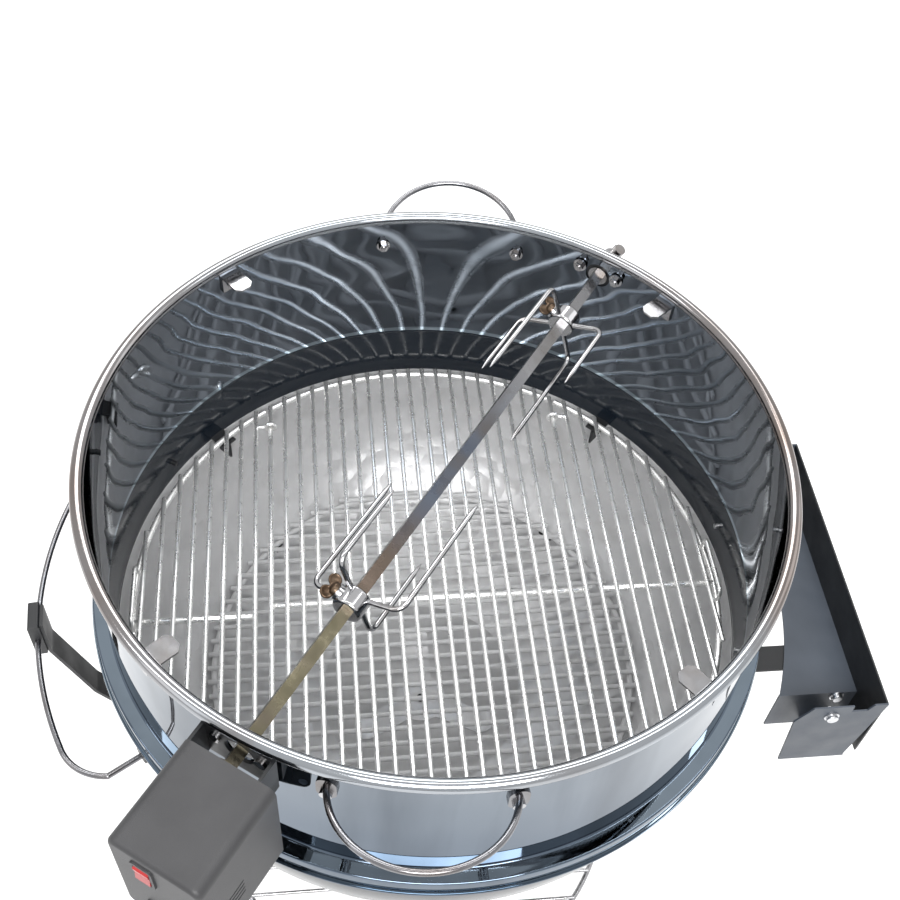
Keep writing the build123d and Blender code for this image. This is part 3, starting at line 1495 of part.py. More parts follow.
# Rocker: a drum that turns in its slot, with a shallow V cut across its face.
rocker_pivot = Plane(
    origin=spit_frame.from_local_coords(Vector(*rocker_at, -housing_far + rocker_depth)),
    x_dir=spit_axis * -1,
    z_dir=spit_frame.x_dir,
)
half_throw = math.radians(rocker_throw / 2)
with BuildPart() as rocker_switch:
    with BuildSketch(rocker_pivot.offset(-rocker_width / 2)):
        Circle(rocker_radius)
        with BuildLine():
            face_x = rocker_depth + rocker_proud
            Polyline(
                (face_x, 0),
                (face_x + rocker_radius * math.tan(half_throw), rocker_radius + 1),
                (2 * rocker_radius, rocker_radius + 1),
                (2 * rocker_radius, -rocker_radius - 1),
                (face_x + rocker_radius * math.tan(half_throw), -rocker_radius - 1),
                close=True,
            )
        make_face(mode=Mode.SUBTRACT)
    extrude(amount=rocker_width)
    with Locations(rocker_pivot):
        Cylinder(1.5, housing_size[0] / 3)
finish(rocker_switch, "rocker_switch")
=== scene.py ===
"""Looks of the rotisserie spit roaster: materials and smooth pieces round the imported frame. Metres."""

import json
import math

import bpy
from mathutils import Matrix, Vector


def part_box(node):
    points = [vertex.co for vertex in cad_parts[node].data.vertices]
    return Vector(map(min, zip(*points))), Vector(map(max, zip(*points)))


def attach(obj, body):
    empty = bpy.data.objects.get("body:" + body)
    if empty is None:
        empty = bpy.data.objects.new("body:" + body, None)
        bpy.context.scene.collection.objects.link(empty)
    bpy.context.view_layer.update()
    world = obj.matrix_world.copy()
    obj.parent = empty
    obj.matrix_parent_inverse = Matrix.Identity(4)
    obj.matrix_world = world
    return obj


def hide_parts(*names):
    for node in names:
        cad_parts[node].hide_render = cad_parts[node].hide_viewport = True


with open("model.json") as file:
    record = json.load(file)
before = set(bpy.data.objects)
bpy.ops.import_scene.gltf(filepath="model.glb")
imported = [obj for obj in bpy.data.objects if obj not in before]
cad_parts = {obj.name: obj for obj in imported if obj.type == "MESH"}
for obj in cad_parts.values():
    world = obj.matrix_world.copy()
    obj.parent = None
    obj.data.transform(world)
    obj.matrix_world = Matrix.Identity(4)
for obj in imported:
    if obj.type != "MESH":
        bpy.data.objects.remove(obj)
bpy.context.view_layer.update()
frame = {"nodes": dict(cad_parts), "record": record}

TAU = 2 * math.pi
UP = Vector((0, 0, 1))


# ---------------------------------------------------------------- sizes, as in the CAD part
fine_facets = 384             # round the ring and the bowl
liner_facets = 256
# Ring
ring_inner, ring_outer = 0.2830, 0.2842
ring_seat = 0.7003            # underside of the step, which rests on the bowl's lip
ring_step_fillet = 0.002
bead_centre = (0.2845, 0.8495)
bead_radius = 0.0055
bead_sheet = 0.0011
skirt_inner, skirt_outer = 0.2958, 0.2970
skirt_low = 0.6850
spit_hole_radius = 0.0125
# Bowl and liner
bowl_radius = 0.286
bowl_wall = 0.0015
lip_centre = (0.2890, 0.6955)
lip_radius = 0.0045
side_arc = 0.190
side_centre = (0.096, 0.655)
bottom_arc = 0.3252
bottom_centre_z = 0.7502
lever_hole = 0.00405
vent_azimuths = (90, 210, 330)
vent_length, vent_width = 0.056, 0.022
vent_reach = 0.055
vent_height = 0.42
liner_gap = 0.0018
liner_sheet = 0.0006
liner_top = 0.640
liner_hole = 0.104
# Grates
bar_z = 0.64975
rim_z = 0.6449
rim_radius = 0.2706
rim_wire = 0.003
bar_wire = 0.00225
hinge_wire = 0.0025
grate_radius = 0.2736
bar_pitch = 0.0146
hinge_bar = 10                # bars from the middle to the flaps' hinge
last_bar = 18
hinge_gap = 0.0059            # from the hinge bar to the flap's rim
cross_low = -0.011            # the middle's cross wire
cross_left, cross_right = -0.021, -0.010
hinge_loop_y = 0.2
hinge_loop_radius = 0.0048
small_wire = 0.002
lift_height = 0.016
lift_half_angle = 6.5
charcoal_z = 0.5175
charcoal_pitch = 0.0155
charcoal_bars = 13            # each side of the middle one
charcoal_reach = 0.216
charcoal_radius = 0.21
# Spit and forks
spit_azimuth = math.radians(54.5)
spit_height = 0.825
spit_shift = -0.00924         # sideways from the kettle's axis
spit_out = Vector((math.cos(spit_azimuth), math.sin(spit_azimuth), 0))
spit_left = Vector((-spit_out.y, spit_out.x, 0))
spit_at = spit_left * spit_shift + UP * spit_height
bar_roll = math.radians(25.6)
bar_x = spit_left * math.cos(bar_roll) + UP * math.sin(bar_roll)
fork_centres = {"front": (-0.146, 1), "rear": (0.211, -1)}  # along the spit, and facing
prong_wire = 0.00225
prong_root = 0.00855
prong_radius = 0.042
prong_bend = 0.009
prong_setback = 0.0055
prong_point = 0.014
prong_long, prong_short = 0.117, 0.076
screw_seat = 0.0148
screw_start = 0.00505         # from the spit's middle, along the screw
web_radius = 0.00148
thread_radius, thread_root = 0.0025, 0.0021
thread_pitch = 0.0008
collar_radius = 0.0056
wing_radius = 0.0055
wing_offset = 0.0060
wing_sheet = 0.0026
# Tyres
tyre_width = 0.026
tyre_radius, tyre_inner = 0.076, 0.063
tyre_shoulder = 0.005
tread_blocks = 36
tread_depth = 0.0018


# ---------------------------------------------------------------- mesh helpers
class Shell:
    """Collects turned and swept shapes, and makes one smooth piece of them."""

    def __init__(self):
        self.points = []
        self.faces = []

    def grid(self, rows, closed_rows=False, closed_columns=True, caps=False):
        """Skin over rows of points, each row a loop or a line of equal length."""
        start = len(self.points)
        count = len(rows[0])
        for row in rows:
            self.points.extend(row)
        last_row = len(rows) if closed_rows else len(rows) - 1
        last_column = count if closed_columns else count - 1
        for i in range(last_row):
            for j in range(last_column):
                a = start + i * count + j
                b = start + i * count + (j + 1) % count
                c = start + (i + 1) % len(rows) * count + (j + 1) % count
                d = start + (i + 1) % len(rows) * count + j
                self.faces.append((a, b, c, d))
        if caps:
            self.faces.append(tuple(reversed(range(start, start + count))))
            self.faces.append(tuple(start + (len(rows) - 1) * count + j for j in range(count)))

    def lathe(self, profile, around):
        """Closed (radius, height) outline turned about the kettle's axis."""
        rows = [
            [(r * math.cos(angle), r * math.sin(angle), z) for r, z in profile]
            for angle in (TAU * k / around for k in range(around))
        ]
        self.grid(rows, closed_rows=True)

    def tube(self, path, radius, sides=14, closed=False, taper=None):
        """Round wire along a path of points; taper maps 0..1 along it to a share of the radius."""
        path = [Vector(p) for p in path]
        n = len(path)
        rows = []
        normal = None
        for i, p in enumerate(path):
            before = path[(i - 1) % n] if (closed or i > 0) else p
            after = path[(i + 1) % n] if (closed or i < n - 1) else p
            direction = (after - before).normalized()
            if normal is None:
                side = UP if abs(direction.z) < 0.9 else Vector((1, 0, 0))
                normal = direction.cross(side).normalized()
            normal = (normal - direction * normal.dot(direction)).normalized()
            binormal = direction.cross(normal)
            share = taper(i / (n - 1)) if taper else 1
            rows.append(
                [
                    p + (normal * math.cos(a) + binormal * math.sin(a)) * radius * share
                    for a in (TAU * k / sides for k in range(sides))
                ]
            )
        self.grid(rows, closed_rows=closed, caps=not closed)

    def make(self, name, body, material, replaces):
        """One piece that rides on a body and stands for the CAD nodes that it replaces."""
        mesh = bpy.data.meshes.new(name)
        mesh.from_pydata([tuple(p) for p in self.points], [], self.faces)
        mesh.validate()
        mesh.polygons.foreach_set("use_smooth", [True] * len(mesh.polygons))
        piece = bpy.data.objects.new(name, mesh)
        bpy.context.scene.collection.objects.link(piece)
        mesh.materials.append(material)
        bpy.context.view_layer.objects.active = piece
        piece.select_set(True)
        bpy.ops.object.mode_set(mode="EDIT")
        bpy.ops.mesh.select_all(action="SELECT")
        bpy.ops.mesh.remove_doubles(threshold=1e-6)
        bpy.ops.mesh.normals_make_consistent(inside=False)
        bpy.ops.object.mode_set(mode="OBJECT")
        mesh.set_sharp_from_angle(angle=math.radians(40))
        piece.select_set(False)
        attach(piece, body)
        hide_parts(*replaces)
        return piece


def polar(angle, radius, height):
    """Point at an azimuth in degrees, a radius and a height."""
    a = math.radians(angle)
    return Vector((radius * math.cos(a), radius * math.sin(a), height))


def arc(centre, radius, start, end, steps):
    """Points of an arc in the (radius, height) plane, angles in degrees, both ends included."""
    return [
        (
            centre[0] + radius * math.cos(math.radians(start + (end - start) * k / steps)),
            centre[1] + radius * math.sin(math.radians(start + (end - start) * k / steps)),
        )
        for k in range(steps + 1)
    ]


def chord(radius, distance):
    """Half the chord of a circle at a distance from its centre."""
    return math.sqrt(radius**2 - distance**2)


def distinct(outline):
    """Closed outline without repeated neighbours."""
    return [
        p for p, before in zip(outline, [outline[-1]] + outline[:-1]) if math.dist(p, before) > 1e-5
    ]


def rounded_path(corners, radius, steps=8):
    """Straight runs joined by tangent arcs."""
    corners = [Vector(c) for c in corners]
    path = [corners[0]]
    for before, corner, after in zip(corners, corners[1:], corners[2:]):
        u = (before - corner).normalized()
        v = (after - corner).normalized()
        half = u.angle(v) / 2
        reach = radius / math.tan(half)
        centre = corner + (u + v).normalized() * (radius / math.sin(half))
        a = corner + u * reach - centre
        b = corner + v * reach - centre
        total = a.angle(b)
        for k in range(steps + 1):
            t = k / steps
            path.append(
                centre + (a * math.sin((1 - t) * total) + b * math.sin(t * total)) / math.sin(total)
            )
    path.append(corners[-1])
    return path


def straight(start, end, steps=2):
    """Evenly spaced points from start to end."""
    start, end = Vector(start), Vector(end)
    return [start.lerp(end, k / steps) for k in range(steps + 1)]


# ---------------------------------------------------------------- material helpers
class Paint:
    """A node material on one Principled shader."""

    def __init__(self, name, colour, metallic=0.0, roughness=0.4, **sockets):
        self.material = bpy.data.materials.new(name)
        self.material.use_nodes = True
        self.tree = self.material.node_tree
        self.shader = self.tree.nodes["Principled BSDF"]
        self.shader.inputs["Base Color"].default_value = (*colour, 1)
        self.shader.inputs["Metallic"].default_value = metallic
        self.shader.inputs["Roughness"].default_value = roughness
        for socket, value in sockets.items():
            self.shader.inputs[socket.replace("_", " ")].default_value = value
        self.coordinates = self.tree.nodes.new("ShaderNodeTexCoord").outputs["Object"]

    def link(self, out, into):
        self.tree.links.new(out, into)

    def scaled(self, scale):
        """Object coordinates, stretched by a scale for each axis."""
        mapping = self.tree.nodes.new("ShaderNodeMapping")
        mapping.inputs["Scale"].default_value = scale
        self.link(self.coordinates, mapping.inputs["Vector"])
        return mapping.outputs["Vector"]

    def noise(self, scale, detail=3.0, stretch=(1, 1, 1), distortion=0.0):
        """Soft random factor from 0 to 1, scale in cycles per metre."""
        node = self.tree.nodes.new("ShaderNodeTexNoise")
        node.inputs["Scale"].default_value = scale
        node.inputs["Detail"].default_value = detail
        node.inputs["Distortion"].default_value = distortion
        self.link(self.scaled(stretch), node.inputs["Vector"])
        return node.outputs["Fac"]

    def cells(self, scale):
        """Distance to the nearest of scattered points, scale in cells per metre."""
        node = self.tree.nodes.new("ShaderNodeTexVoronoi")
        node.inputs["Scale"].default_value = scale
        self.link(self.scaled((1, 1, 1)), node.inputs["Vector"])
        return node.outputs["Distance"]

    def remap(self, value, low, high, out_low, out_high):
        """Value mapped from low..high to out_low..out_high and clamped."""
        node = self.tree.nodes.new("ShaderNodeMapRange")
        self.link(value, node.inputs["Value"])
        sockets = ("From Min", "From Max", "To Min", "To Max")
        for socket, number in zip(sockets, (low, high, out_low, out_high)):
            node.inputs[socket].default_value = number
        return node.outputs["Result"]

    def combine(self, operation, *values):
        """Result of a Math node on one or two values."""
        node = self.tree.nodes.new("ShaderNodeMath")
        node.operation = operation
        for value, socket in zip(values, node.inputs):
            self.link(value, socket)
        return node.outputs[0]

    def separate(self, vector):
        """X, Y and Z of a vector."""
        node = self.tree.nodes.new("ShaderNodeSeparateXYZ")
        self.link(vector, node.inputs[0])
        return node.outputs

    def blend(self, factor, first, second):
        """Colour between two colours or colour sockets."""
        node = self.tree.nodes.new("ShaderNodeMix")
        node.data_type = "RGBA"
        self.link(factor, node.inputs["Factor"])
        colours = [s for s in node.inputs if s.type == "RGBA"]
        for socket, colour in zip(colours, (first, second)):
            if isinstance(colour, tuple):
                socket.default_value = (*colour, 1)
            else:
                self.link(colour, socket)
        return next(s for s in node.outputs if s.type == "RGBA")

    def colour(self, socket):
        self.link(socket, self.shader.inputs["Base Color"])

    def rough(self, socket):
        self.link(socket, self.shader.inputs["Roughness"])

    def bump(self, height, strength, distance):
        """Relief from a height factor, laid over any earlier relief."""
        node = self.tree.nodes.new("ShaderNodeBump")
        node.inputs["Strength"].default_value = strength
        node.inputs["Distance"].default_value = distance
        self.link(height, node.inputs["Height"])
        old = self.shader.inputs["Normal"].links
        if old:
            self.link(old[0].from_socket, node.inputs["Normal"])
        self.link(node.outputs["Normal"], self.shader.inputs["Normal"])


def wire_metal(name, colour, roughness, stain, stain_amount=0.5, metallic=1.0):
    """Bright drawn wire with faint lengthwise lines and a few dull stains."""
    paint = Paint(name, colour, metallic=metallic, roughness=roughness)
    patches = paint.remap(paint.noise(22, 4), 0.5, 0.72, 0, stain_amount)
    paint.colour(paint.blend(patches, colour, stain))
    paint.rough(paint.remap(paint.noise(90, 3), 0.3, 0.7, roughness * 0.7, roughness * 1.5))
    paint.bump(paint.noise(900, 2), 0.15, 0.0002)
    return paint.material


def powder_coat(name, colour, roughness=0.45, grain=2600):
    """Powder-coated sheet: fine pebbled skin, faint dust and rubbed patches."""
    paint = Paint(name, colour, roughness=roughness)
    dust = tuple(min(1, c * 1.6 + 0.012) for c in colour)
    paint.colour(paint.blend(paint.remap(paint.noise(14, 5), 0.4, 0.75, 0, 0.7), colour, dust))
    paint.rough(paint.remap(paint.noise(40, 4), 0.3, 0.7, roughness * 0.8, roughness * 1.2))
    paint.bump(paint.noise(grain, 2), 0.12, 0.0002)
    return paint.material


def moulded(name, colour, roughness=0.5, grain=1800, strength=0.15):
    """Moulded plastic or rubber with a fine leather-like texture."""
    paint = Paint(name, colour, roughness=roughness)
    light = tuple(min(1, c * 1.35 + 0.006) for c in colour)
    paint.colour(paint.blend(paint.remap(paint.noise(30, 4), 0.35, 0.7, 0, 0.6), colour, light))
    paint.bump(paint.cells(grain), strength, 0.00025)
    return paint.material


# ---------------------------------------------------------------- camera
elevation = math.radians(50.72)
heading = math.radians(9.5)
roll = math.radians(5.15)
distance = 0.9754
ring_top = 0.855
focus = Vector((0.0068, -0.0049, ring_top))
right = Vector((math.cos(heading), -math.sin(heading), 0))
back = Vector(
    (
        -math.sin(heading) * math.cos(elevation),
        -math.cos(heading) * math.cos(elevation),
        math.sin(elevation),
    )
)
up = back.cross(right)
camera_x = right * math.cos(roll) + up * math.sin(roll)
camera_y = up * math.cos(roll) - right * math.sin(roll)
camera_data = bpy.data.cameras.new("camera")
camera_data.lens = 48.87
camera_data.sensor_width = 36
camera = bpy.data.objects.new("camera", camera_data)
place = Matrix.Identity(4)
for axis, vector in enumerate((camera_x, camera_y, back, focus + back * distance)):
    for k in range(3):
        place[k][axis] = vector[k]
camera.matrix_world = place
bpy.context.scene.collection.objects.link(camera)
bpy.context.scene.camera = camera


# ---------------------------------------------------------------- light and floor
def softbox(name, at, aim, size, power):
    """Rectangular studio light: width and height across its aim, power in watts."""
    light = bpy.data.lights.new(name, "AREA")
    light.shape = "RECTANGLE"
    light.size, light.size_y = size
    light.energy = power
    lamp = bpy.data.objects.new(name, light)
    lamp.location = at
    lamp.rotation_euler = (Vector(aim) - Vector(at)).to_track_quat("-Z", "Y").to_euler()
    bpy.context.scene.collection.objects.link(lamp)


def seen_rays(tree):
    """One for the rays that see the background: camera, glossy and transmission rays."""
    rays = tree.nodes.new("ShaderNodeLightPath")
    seen = rays.outputs["Is Camera Ray"]
    for other in ("Is Glossy Ray", "Is Transmission Ray"):
        either = tree.nodes.new("ShaderNodeMath")
        either.operation = "MAXIMUM"
        tree.links.new(seen, either.inputs[0])
        tree.links.new(rays.outputs[other], either.inputs[1])
        seen = either.outputs[0]
    return seen


for lamp_name, at, aim, size, power in (
    ("strip", (-0.35, 0, 3.0), (-0.2, 0, 0.6), (0.28, 5.0), 36),
    ("front", (0, -1.7, 2.3), (0, 0, 0.65), (1.3, 0.9), 58),
    ("back", (0, 1.7, 2.6), (0, 0, 0.65), (1.6, 0.7), 26),
    ("left", (-2.4, -0.9, 1.9), (0, 0, 0.6), (0.9, 1.6), 5),
    ("right", (2.4, 0.6, 2.0), (0, 0, 0.6), (0.9, 1.6), 5),
):
    softbox(lamp_name, at, aim, size, power)

world = bpy.data.worlds.new("studio")
bpy.context.scene.world = world
world.use_nodes = True
nodes, links = world.node_tree.nodes, world.node_tree.links
sky = nodes["Background"]
sky.inputs["Color"].default_value = (1, 1, 1, 1)
level = nodes.new("ShaderNodeMapRange")
level.inputs["To Min"].default_value = 0.33
level.inputs["To Max"].default_value = 1.0
links.new(seen_rays(world.node_tree), level.inputs["Value"])
links.new(level.outputs["Result"], sky.inputs["Strength"])
bpy.context.scene.view_settings.view_transform = "Standard"

bpy.ops.mesh.primitive_plane_add(size=16)
floor = bpy.context.object
floor.name = "floor"
floor_paint = Paint("floor", (0.86, 0.86, 0.86), roughness=0.9)
floor_paint.colour(
    floor_paint.blend(floor_paint.noise(3, 2), (0.85, 0.85, 0.85), (0.87, 0.87, 0.87))
)
reach = floor_paint.tree.nodes.new("ShaderNodeVectorMath")
reach.operation = "LENGTH"
floor_paint.link(floor_paint.coordinates, reach.inputs[0])
fade = floor_paint.remap(reach.outputs["Value"], 0.5, 2.0, 0.32, 0.8)
backdrop = floor_paint.combine("MULTIPLY", seen_rays(floor_paint.tree), fade)
floor_paint.shader.inputs["Emission Color"].default_value = (1, 1, 1, 1)
floor_paint.link(backdrop, floor_paint.shader.inputs["Emission Strength"])
floor.data.materials.append(floor_paint.material)


# ---------------------------------------------------------------- materials
inner_steel = (0.185, 0.208, 0.238)
outer_steel = (0.115, 0.145, 0.185)
bead_steel = (0.34, 0.36, 0.385)
bead_brown = (0.17, 0.125, 0.10)
# painted highlight: a pale bluish line at the foot of the inner wall stands in for a reflected highlight
painted_foot_highlight = (0.42, 0.50, 0.56)
foot_highlight_top = 0.7045          # top of the painted highlight line at the foot of the inner wall
smoke_height = 0.8440         # foot of the rolled bead
enamel_black = (0.009, 0.013, 0.019)
enamel_coat = 0.15


def ring_steel():
    """Mirror sheet, smoked dark and bluish, with a slight wave; the rolled bead is bright."""
    paint = Paint("ring_steel", inner_steel, metallic=1.0, roughness=0.06)
    nodes = paint.tree.nodes
    across, _, height = paint.separate(paint.coordinates)
    bead = paint.remap(height, smoke_height - 0.001, smoke_height, 0, 1)
    cloud = paint.remap(paint.noise(9, 5, distortion=0.6), 0.35, 0.7, -0.25, 0.35)
    sides = paint.remap(paint.combine("ABSOLUTE", across), 0.13, 0.29, 0, 0.75)
    bright = paint.blend(paint.combine("ADD", sides, cloud), bead_steel, bead_brown)
    outward = nodes.new("ShaderNodeVectorMath")
    outward.operation = "DOT_PRODUCT"
    paint.link(nodes.new("ShaderNodeTexCoord").outputs["Normal"], outward.inputs[0])
    paint.link(paint.scaled((1, 1, 0)), outward.inputs[1])
    outside = paint.remap(outward.outputs["Value"], -0.05, 0.05, 0, 1)
    soot = paint.remap(paint.noise(7, 5, stretch=(1, 1, 2.5)), 0.4, 0.75, 0, 0.7)
    inner = paint.blend(soot, inner_steel, (0.10, 0.118, 0.142))
    # painted reflection: the outer wall is lighter towards the bead, standing in for reflected
    # highlights there
    painted_reflection_rise = paint.remap(height, 0.74, 0.835, 0, 1)
    outer = paint.blend(painted_reflection_rise, outer_steel, (0.17, 0.20, 0.235))
    grain = paint.noise(16, 5, stretch=(1, 1, 0.12), distortion=0.3)
    outer = paint.blend(paint.remap(grain, 0.45, 0.72, 0, 0.75), outer, (0.045, 0.062, 0.085))
    # painted highlight mask: the inner wall's lowest few millimetres get the pale highlight colour
    foot = paint.remap(height, foot_highlight_top, foot_highlight_top + 0.0005, 1, 0)
    wall = paint.blend(outside, paint.blend(foot, inner, painted_foot_highlight), outer)
    paint.colour(paint.blend(bead, wall, bright))
    film = paint.remap(paint.noise(60, 4), 0.35, 0.75, 0.015, 0.05)
    paint.rough(paint.combine("ADD", film, paint.remap(bead, 0, 1, 0, 0.1)))
    paint.bump(paint.noise(9, 1.0, stretch=(1, 1, 1.4)), 0.32, 0.003)
    return paint.material


def polished_steel():
    """Bright sheet and wire with faint tea-coloured stains."""
    paint = Paint("polished_steel", (0.5, 0.5, 0.5), metallic=1.0, roughness=0.16)
    tea = paint.remap(paint.noise(30, 4), 0.45, 0.72, 0, 0.7)
    paint.colour(paint.blend(tea, (0.36, 0.36, 0.37), (0.24, 0.20, 0.17)))
    paint.rough(paint.remap(paint.noise(80, 4), 0.3, 0.7, 0.1, 0.26))
    paint.bump(paint.noise(300, 2), 0.08, 0.0003)
    return paint.material


def ashen(name, colour, dark):
    """Steel or enamel under a film of pale ash."""
    paint = Paint(name, colour, roughness=0.75)
    paint.colour(paint.blend(paint.remap(paint.noise(38, 5), 0.5, 0.72, 0, 0.8), colour, dark))
    paint.bump(paint.noise(300, 4), 0.3, 0.0008)
    return paint.material


def foil():
    """Crinkled aluminium liner with grease spots."""
    paint = Paint("liner_foil", (0.62, 0.62, 0.625), metallic=0.35, roughness=0.38)
    spots = paint.remap(paint.noise(26, 5), 0.56, 0.74, 0, 0.5)
    paint.colour(paint.blend(spots, (0.62, 0.62, 0.625), (0.46, 0.45, 0.44)))
    paint.bump(paint.cells(46), 0.5, 0.004)
    paint.bump(paint.noise(120, 4), 0.35, 0.001)
    return paint.material


def enamel():
    """Deep gloss black enamel with orange-peel ripple; pale ash lies on the bowl's floor."""
    paint = Paint(
        "enamel",
        enamel_black,
        roughness=0.1,
        Specular_IOR_Level=0.35,
        Coat_Weight=enamel_coat,
        Coat_Roughness=0.04,
    )
    low = paint.remap(paint.separate(paint.coordinates)["Z"], 0.452, 0.466, 1, 0)
    facing = paint.tree.nodes.new("ShaderNodeNewGeometry").outputs["True Normal"]
    upward = paint.remap(paint.separate(facing)["Z"], 0.05, 0.1, 0, 1)
    ashy = paint.combine("MULTIPLY", low, upward)
    ash = paint.blend(paint.noise(60, 5), (0.50, 0.50, 0.50), (0.66, 0.66, 0.665))
    paint.colour(paint.blend(ashy, enamel_black, ash))
    gloss = paint.remap(paint.noise(35, 5), 0.35, 0.75, 0.07, 0.22)
    paint.rough(paint.combine("MAXIMUM", gloss, paint.remap(ashy, 0, 1, 0, 0.8)))
    paint.link(paint.remap(ashy, 0, 1, enamel_coat, 0), paint.shader.inputs["Coat Weight"])
    paint.bump(paint.noise(260, 2), 0.04, 0.0006)
    return paint.material


def heat_brown():
    """Zinc screw, tinted brown and straw by heat."""
    paint = Paint("heated_screw", (0.3, 0.26, 0.22), metallic=1.0, roughness=0.32)
    tint = paint.remap(paint.noise(70, 4), 0.35, 0.7, 0, 1)
    paint.colour(paint.blend(tint, (0.13, 0.095, 0.068), (0.06, 0.036, 0.022)))
    paint.bump(paint.noise(700, 3), 0.25, 0.0003)
    return paint.material


def spit_steel():
    """Square bar: olive-brown where it is heated near the motor, blue-grey along the middle."""
    paint = Paint("spit_bar", (0.4, 0.4, 0.42), metallic=1.0, roughness=0.26)
    dot = paint.tree.nodes.new("ShaderNodeVectorMath")
    dot.operation = "DOT_PRODUCT"
    dot.inputs[1].default_value = spit_out
    paint.link(paint.coordinates, dot.inputs[0])
    along = dot.outputs["Value"]
    tone = (0.085, 0.077, 0.052)
    for start, end, colour in (
        (-0.17, -0.13, (0.080, 0.062, 0.050)),
        (-0.10, -0.03, (0.082, 0.094, 0.118)),
        (0.03, 0.14, (0.20, 0.20, 0.205)),
    ):
        tone = paint.blend(paint.remap(along, start, end, 0, 1), tone, colour)
    stain = paint.remap(paint.noise(30, 5), 0.45, 0.7, 0, 0.6)
    paint.colour(paint.blend(stain, tone, (0.085, 0.072, 0.060)))
    paint.rough(paint.remap(paint.noise(55, 4), 0.3, 0.7, 0.18, 0.4))
    paint.bump(paint.noise(500, 3), 0.12, 0.0003)
    return paint.material


def chrome():
    """Plated die casting."""
    paint = Paint("chrome", (0.5, 0.5, 0.51), metallic=1.0, roughness=0.12)
    stain = paint.remap(paint.noise(45, 4), 0.5, 0.75, 0, 0.6)
    paint.colour(paint.blend(stain, (0.42, 0.42, 0.43), (0.22, 0.19, 0.17)))
    paint.bump(paint.noise(180, 2), 0.12, 0.0005)
    return paint.material


def zinc():
    """Zinc-plated fixings, cloudy and slightly spangled."""
    paint = Paint("zinc", (0.62, 0.63, 0.65), metallic=1.0, roughness=0.3)
    spangle = paint.remap(paint.noise(160, 4), 0.35, 0.7, 0, 1)
    paint.colour(paint.blend(spangle, (0.66, 0.67, 0.69), (0.45, 0.45, 0.46)))
    paint.bump(paint.noise(800, 2), 0.12, 0.0002)
    return paint.material


dark_wire = wire_metal("dark_wire", (0.20, 0.20, 0.21), 0.2, (0.12, 0.10, 0.09), 0.7)
heated = heat_brown()
rack_wire = wire_metal("rack_wire", (0.36, 0.36, 0.37), 0.22, (0.22, 0.20, 0.18), 0.6)
finishes = {
    "black_enamel": enamel(),
    "black_paint": powder_coat("black_paint", (0.0055, 0.0062, 0.0075), 0.42),
    "slate_paint": powder_coat("slate_paint", (0.050, 0.060, 0.076), 0.42),
    "polished_steel": polished_steel(),
    "spit_steel": spit_steel(),
    "chrome": chrome(),
    "grate_wire": wire_metal("grate_wire", (0.95, 0.95, 0.94), 0.26, (0.86, 0.84, 0.82), 0.3, 0.75),
    "aluminium": foil(),
    "zinc": zinc(),
    "motor_plastic": moulded("motor_plastic", (0.028, 0.028, 0.030), 0.5, 1500, 0.25),
    "switch_plastic": moulded("switch_plastic", (0.35, 0.02, 0.02), 0.28, 2600, 0.08),
    "gear_plastic": moulded("gear_plastic", (0.62, 0.60, 0.54), 0.4, 1200, 0.06),
    "tyre": moulded("tyre", (0.016, 0.016, 0.017), 0.62, 1300, 0.3),
    "hub_plastic": moulded("hub_plastic", (0.035, 0.035, 0.037), 0.45, 1500, 0.2),
    "foot_plastic": moulded("foot_plastic", (0.014, 0.014, 0.015), 0.5, 1500, 0.2),
    "brass": heated,
}
smoked_ring = ring_steel()
ash_steel = ashen("ash_steel", (0.68, 0.68, 0.685), (0.55, 0.545, 0.54))


# ---------------------------------------------------------------- exact normals on turned pieces
def turned_normals(piece, profile):
    """Give each face corner that lies on the outline the outline's own smooth normal."""
    mesh = piece.data
    n = len(profile)
    edges = []
    for i in range(n):
        a, b = Vector(profile[i]), Vector(profile[(i + 1) % n])
        d = (b - a).normalized()
        edges.append((a, b, Vector((d.y, -d.x))))
    area = sum(a.x * b.y - b.x * a.y for a, b, _ in edges)
    if area < 0:
        edges = [(a, b, -normal) for a, b, normal in edges]
    soft = []
    for i in range(n):
        before, after = edges[i - 1][2], edges[i][2]
        soft.append((before + after).normalized() if before.dot(after) > 0.8 else None)
    normals = []
    cache = {}
    for polygon in mesh.polygons:
        for vertex in polygon.vertices:
            p = mesh.vertices[vertex].co
            r = math.hypot(p.x, p.y)
            out = Vector((p.x / r, p.y / r, 0))
            flat = polygon.normal
            flat2 = Vector((flat.dot(out), flat.z))
            key = (round(r, 6), round(p.z, 6))
            if key not in cache:
                cache[key] = sorted(
                    (segment_gap(Vector((r, p.z)), a, b), i) for i, (a, b, _) in enumerate(edges)
                )[:3]
            best = None
            for gap, i in cache[key]:
                if gap < 1e-5 and edges[i][2].dot(flat2) > 0.94:
                    best = i
                    break
            if best is None:
                normals.append(flat)
                continue
            a, b, normal = edges[best]
            t = min(1, max(0, (Vector((r, p.z)) - a).dot(b - a) / (b - a).length_squared))
            first = soft[best] or normal
            second = soft[(best + 1) % n] or normal
            mixed = (first * (1 - t) + second * t).normalized()
            normals.append(out * mixed.x + Vector((0, 0, mixed.y)))
    mesh.normals_split_custom_set([tuple(v) for v in normals])


def segment_gap(p, a, b):
    """Distance from a point to the segment from a to b."""
    t = min(1, max(0, (p - a).dot(b - a) / (b - a).length_squared))
    return (p - a - (b - a) * t).length


